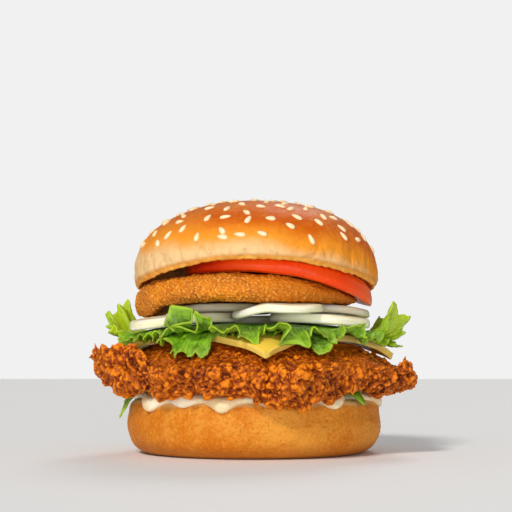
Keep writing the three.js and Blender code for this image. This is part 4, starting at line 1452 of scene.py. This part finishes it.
class BURGER_OT_crown(Operator):
    """The upper bun, with its lifted rim and fine wrinkles"""

    bl_idname = "burger.crown"
    bl_label = "Bun crown"

    def execute(self, context):
        radius = sizes().crown_radius / MM
        under_level = patty_floor() + PATTY_DEPTH + CURVED_GAP + TOMATO_DEPTH + CURVED_GAP + GAP

        def place(down, bearing):
            angle = np.clip(down / SKIN_END, 0, 1) * math.pi / 2
            skin = crown_skin(angle, bearing)
            curl = np.clip((down - SKIN_END) / (RIM_END - SKIN_END), 0, 1) * math.pi / 2
            rim = rim_height(bearing)
            curled = polar(CROWN_RIM_RADIUS + (radius - CROWN_RIM_RADIUS) * np.cos(curl), bearing,
                           rim + CROWN_CURL * (1 - np.sin(curl)), CROWN_X)
            share = np.clip((1 - down) / (1 - RIM_END), 0, 1)
            hollow = polar(share * CROWN_RIM_RADIUS, bearing,
                           under_level - (under_level - rim) * share ** CROWN_HOLLOW_POWER, CROWN_X)
            points = np.where((down > SKIN_END)[:, None], curled, skin)
            return np.where((down > RIM_END)[:, None], hollow, points)

        piece = round_piece(440, 180, place)
        mesh = piece.data
        points = points_of(mesh)
        normal = normals_of(mesh)
        bearing = bearing_of(points, CROWN_X)
        rim = rim_height(bearing)
        below = 1 - (points[:, 2] - rim) / (sizes().crown_top / MM - rim)
        under = smoothstep(-normal[:, 2], 0.35, 0.75)
        low = smoothstep(below, 0.55, 0.85) * (1 - under)
        waves = 0.55 * swell(points, 22, 91) + 0.16 * swell(points, 7, 92) * (0.4 + low)
        folded = swell(points * [1, 1, 0.45], 6.5, 93)
        wrinkles = -0.5 * np.exp(-(folded / 0.1) ** 2) * low
        slant = np.array([[1, 0, 0.5], [0, 1, 0], [-0.5, 0, 0.6]])
        fine = (0.12 * swell(points, 1.7, 94) + 0.4 * swell(points @ slant, 3.2, 96)) * (0.15 + low)
        fine = fine + under * 0.4 * swell(points, 2.2, 95)
        set_points(mesh, points + normal * (waves + wrinkles + fine)[:, None])
        attribute(mesh, "below", below)
        attribute(mesh, "under", under)
        finished(piece, "crown", crown_material(), "bread_crown", "bun_crown")
        return {"FINISHED"}


def seed_material():
    """Cream sesame with a browner tip."""
    material, tree, shader, place = new_material("sesame")
    tip = named(tree, "tip")
    mottled = mottle(tree, place, colours().seed, (0.90, 0.74, 0.48), 260.0, 1500.0, 1.0)
    shade = mix(tree, times(tree, tip, 0.55), mottled, (0.62, 0.33, 0.10))
    painted(tree, shader, shade, 0.4, 0.3)
    return material


def crown_normal(down, bearing):
    """The crown's outward direction at one spot."""
    angle = np.array([max(down - 0.02, 0), down + 0.02, down, down])
    above, beneath, left, right = crown_skin(angle, bearing + np.array([0, 0, -1, 1]))
    normal = np.cross(beneath - above, right - left)
    return normal / np.linalg.norm(normal)


class BURGER_OT_seeds(Operator):
    """The sesame seeds, half sunk in the crown"""

    bl_idname = "burger.seeds"
    bl_label = "Sesame seeds"

    def execute(self, context):
        random = lcg(23)
        count = sizes().seed_count
        length_mm = sizes().seed_length / MM
        top = sizes().crown_top / MM
        golden = math.degrees(math.pi * (3 - math.sqrt(5)))
        places, normals, turns = [], [], []
        for i in range(count):
            evenly = SEED_HIGHEST + (SEED_LOWEST - SEED_HIGHEST) * (i + 0.5) / count
            height = min(max(evenly + 1.6 * (next(random) - 0.5), SEED_LOWEST), SEED_HIGHEST)
            bearing = i * golden + math.degrees(0.3 * (next(random) - 0.5))
            widest = rim_height(bearing) + CROWN_CURL
            down = math.acos(((height - widest) / (top - widest)) ** (CROWN_ROUNDNESS / 2))
            turn = math.pi * next(random)
            places.append(crown_skin(np.array([down]), np.array([bearing]))[0])
            normals.append(crown_normal(down, bearing))
            turns.append(turn)
        rng = np.random.default_rng(24)
        for _ in range(sizes().extra_seeds):
            height = rng.uniform(SEED_LOWEST + 1, SEED_HIGHEST - 1, 40)
            bearing = rng.uniform(-180, 180, 40)
            widest = rim_height(bearing) + CROWN_CURL
            down = np.arccos(((height - widest) / (top - widest)) ** (CROWN_ROUNDNESS / 2))
            spots = crown_skin(down, bearing)
            spread = np.linalg.norm(spots[:, None] - np.array(places)[None], axis=2).min(axis=1)
            best = int(np.argmax(spread))
            places.append(spots[best])
            normals.append(crown_normal(down[best], bearing[best]))
            turns.append(rng.uniform(0, math.pi))
        places, normals, turns = np.array(places), np.array(normals), np.array(turns)
        places = places + normals * (0.55 * swell(places, 22, 91) + 0.05)[:, None]
        base, faces = ball(2)
        taper = 1 - 0.38 * base[:, 0]
        shaped = np.column_stack([base[:, 0], base[:, 1] * taper, base[:, 2] * (1 - 0.2 * base[:, 0])])
        scale = np.array([length_mm / 2, 1.0, 0.8]) * rng.uniform(0.88, 1.1, size=(len(places), 3))
        axes = frames(normals, turns)
        piece = joined_lumps("seeds", (shaped, faces), places, axes, scale, 0.0, rng)
        attribute(piece.data, "tip", np.tile(smoothstep(base[:, 0], 0.55, 1.0), len(places)))
        finished(piece, "seeds", seed_material(), "sesame", "bun_crown")
        return {"FINISHED"}


# Stage

def sun(name, towards, angle, strength, tint=(1, 1, 1)):
    """A soft even light that shines the way of a direction, its softness in degrees."""
    data = bpy.data.lights.new(name, "SUN")
    data.angle = math.radians(angle)
    data.energy = strength
    data.color = tint
    light = bpy.data.objects.new(name, data)
    bpy.context.scene.collection.objects.link(light)
    flat = math.hypot(towards[0], towards[1])
    tilt = math.pi / 2 + math.atan2(towards[2], flat)
    light.rotation_euler = (tilt, 0, math.atan2(-towards[0], towards[1]))


def low_panel(name, place, power):
    """A long low soft light near the floor, aimed at the burger, in metres and watts."""
    data = bpy.data.lights.new(name, "AREA")
    data.shape = "RECTANGLE"
    data.size = 0.5
    data.size_y = 0.06
    data.energy = power
    light = bpy.data.objects.new(name, data)
    bpy.context.scene.collection.objects.link(light)
    light.location = place
    aim = Vector((0, 0, 0.06)) - Vector(place)
    light.rotation_euler = aim.to_track_quat("-Z", "Y").to_euler()


class BURGER_OT_stage(Operator):
    """The pale floor, the soft lights and the camera at the photo's angle"""

    bl_idname = "burger.stage"
    bl_label = "Stage"

    def execute(self, context):
        bpy.ops.object.select_all(action="DESELECT")
        bpy.ops.mesh.primitive_plane_add(size=6, location=(0, 0, -0.0002))
        floor = bpy.context.object
        floor.name = "floor"
        material, tree, shader, place = new_material("floor_white")
        grain = node(tree, "ShaderNodeTexNoise", {"Vector": place, "Scale": 3.0}).outputs[0]
        shade = mix(tree, grain, (0.93, 0.93, 0.93), (0.95, 0.95, 0.95))
        painted(tree, shader, shade, 0.7)
        floor.data.materials.append(material)
        world = bpy.data.worlds.new("studio")
        world.use_nodes = True
        tree = world.node_tree
        background = tree.nodes["Background"]
        background.inputs["Color"].default_value = (1, 1, 1, 1)
        seen = node(tree, "ShaderNodeLightPath").outputs["Is Camera Ray"]
        strength = node(tree, "ShaderNodeMapRange", {0: seen, 3: 0.28, 4: 0.88}).outputs[0]
        tree.links.new(strength, background.inputs["Strength"])
        scene = bpy.context.scene
        scene.world = world
        scene.view_settings.view_transform = "Standard"
        sun("key", (0.36, 0.70, -0.68), 12, 1.7, (1, 0.97, 0.93))
        sun("fill", (-0.16, 1, -0.11), 12, 0.35)
        low_panel("panel_left", (-0.30, -0.62, 0.025), 1.1)
        low_panel("panel_right", (0.30, -0.62, 0.025), 0.9)
        sun("rim_light", (-0.2, -0.8, -0.8), 20, 0.5)
        data = bpy.data.cameras.new("camera")
        data.sensor_width = 36
        data.lens = CAMERA_LENS
        camera = bpy.data.objects.new("camera", data)
        bpy.context.scene.collection.objects.link(camera)
        camera.location = CAMERA_PLACE
        camera.rotation_euler = (math.radians(90 + CAMERA_LIFT), 0, 0)
        scene.camera = camera
        return {"FINISHED"}


# The add-on

PIECES = (
    BURGER_OT_heel, BURGER_OT_sauce, BURGER_OT_hanging_leaf, BURGER_OT_fillet, BURGER_OT_cheese,
    BURGER_OT_lettuce, BURGER_OT_onions, BURGER_OT_patty, BURGER_OT_tomato, BURGER_OT_crown,
    BURGER_OT_seeds, BURGER_OT_stage,
)


class BURGER_PT_sidebar(Panel):
    """The burger's pieces and sizes, in the sidebar"""

    bl_idname = "BURGER_PT_sidebar"
    bl_label = "Stacked burger"
    bl_space_type = "VIEW_3D"
    bl_region_type = "UI"
    bl_category = "Burger"

    def draw(self, context):
        for piece in PIECES:
            self.layout.operator(piece.bl_idname)
        for values in (context.scene.burger_sizes, context.scene.burger_colours):
            for key in values.__annotations__:
                self.layout.prop(values, key)


CLASSES = (BurgerSizes, BurgerColours, *PIECES, BURGER_PT_sidebar)


def register():
    """Registers the properties, operators and panel."""
    for each in CLASSES:
        bpy.utils.register_class(each)
    bpy.types.Scene.burger_sizes = PointerProperty(type=BurgerSizes)
    bpy.types.Scene.burger_colours = PointerProperty(type=BurgerColours)


def unregister():
    """Takes the add-on out again."""
    del bpy.types.Scene.burger_colours
    del bpy.types.Scene.burger_sizes
    for each in reversed(CLASSES):
        bpy.utils.unregister_class(each)


def main():
    """Builds every piece in order."""
    register()
    for piece in PIECES:
        getattr(bpy.ops.burger, piece.bl_idname.split(".")[1])()


if __name__ == "__main__":
    main()
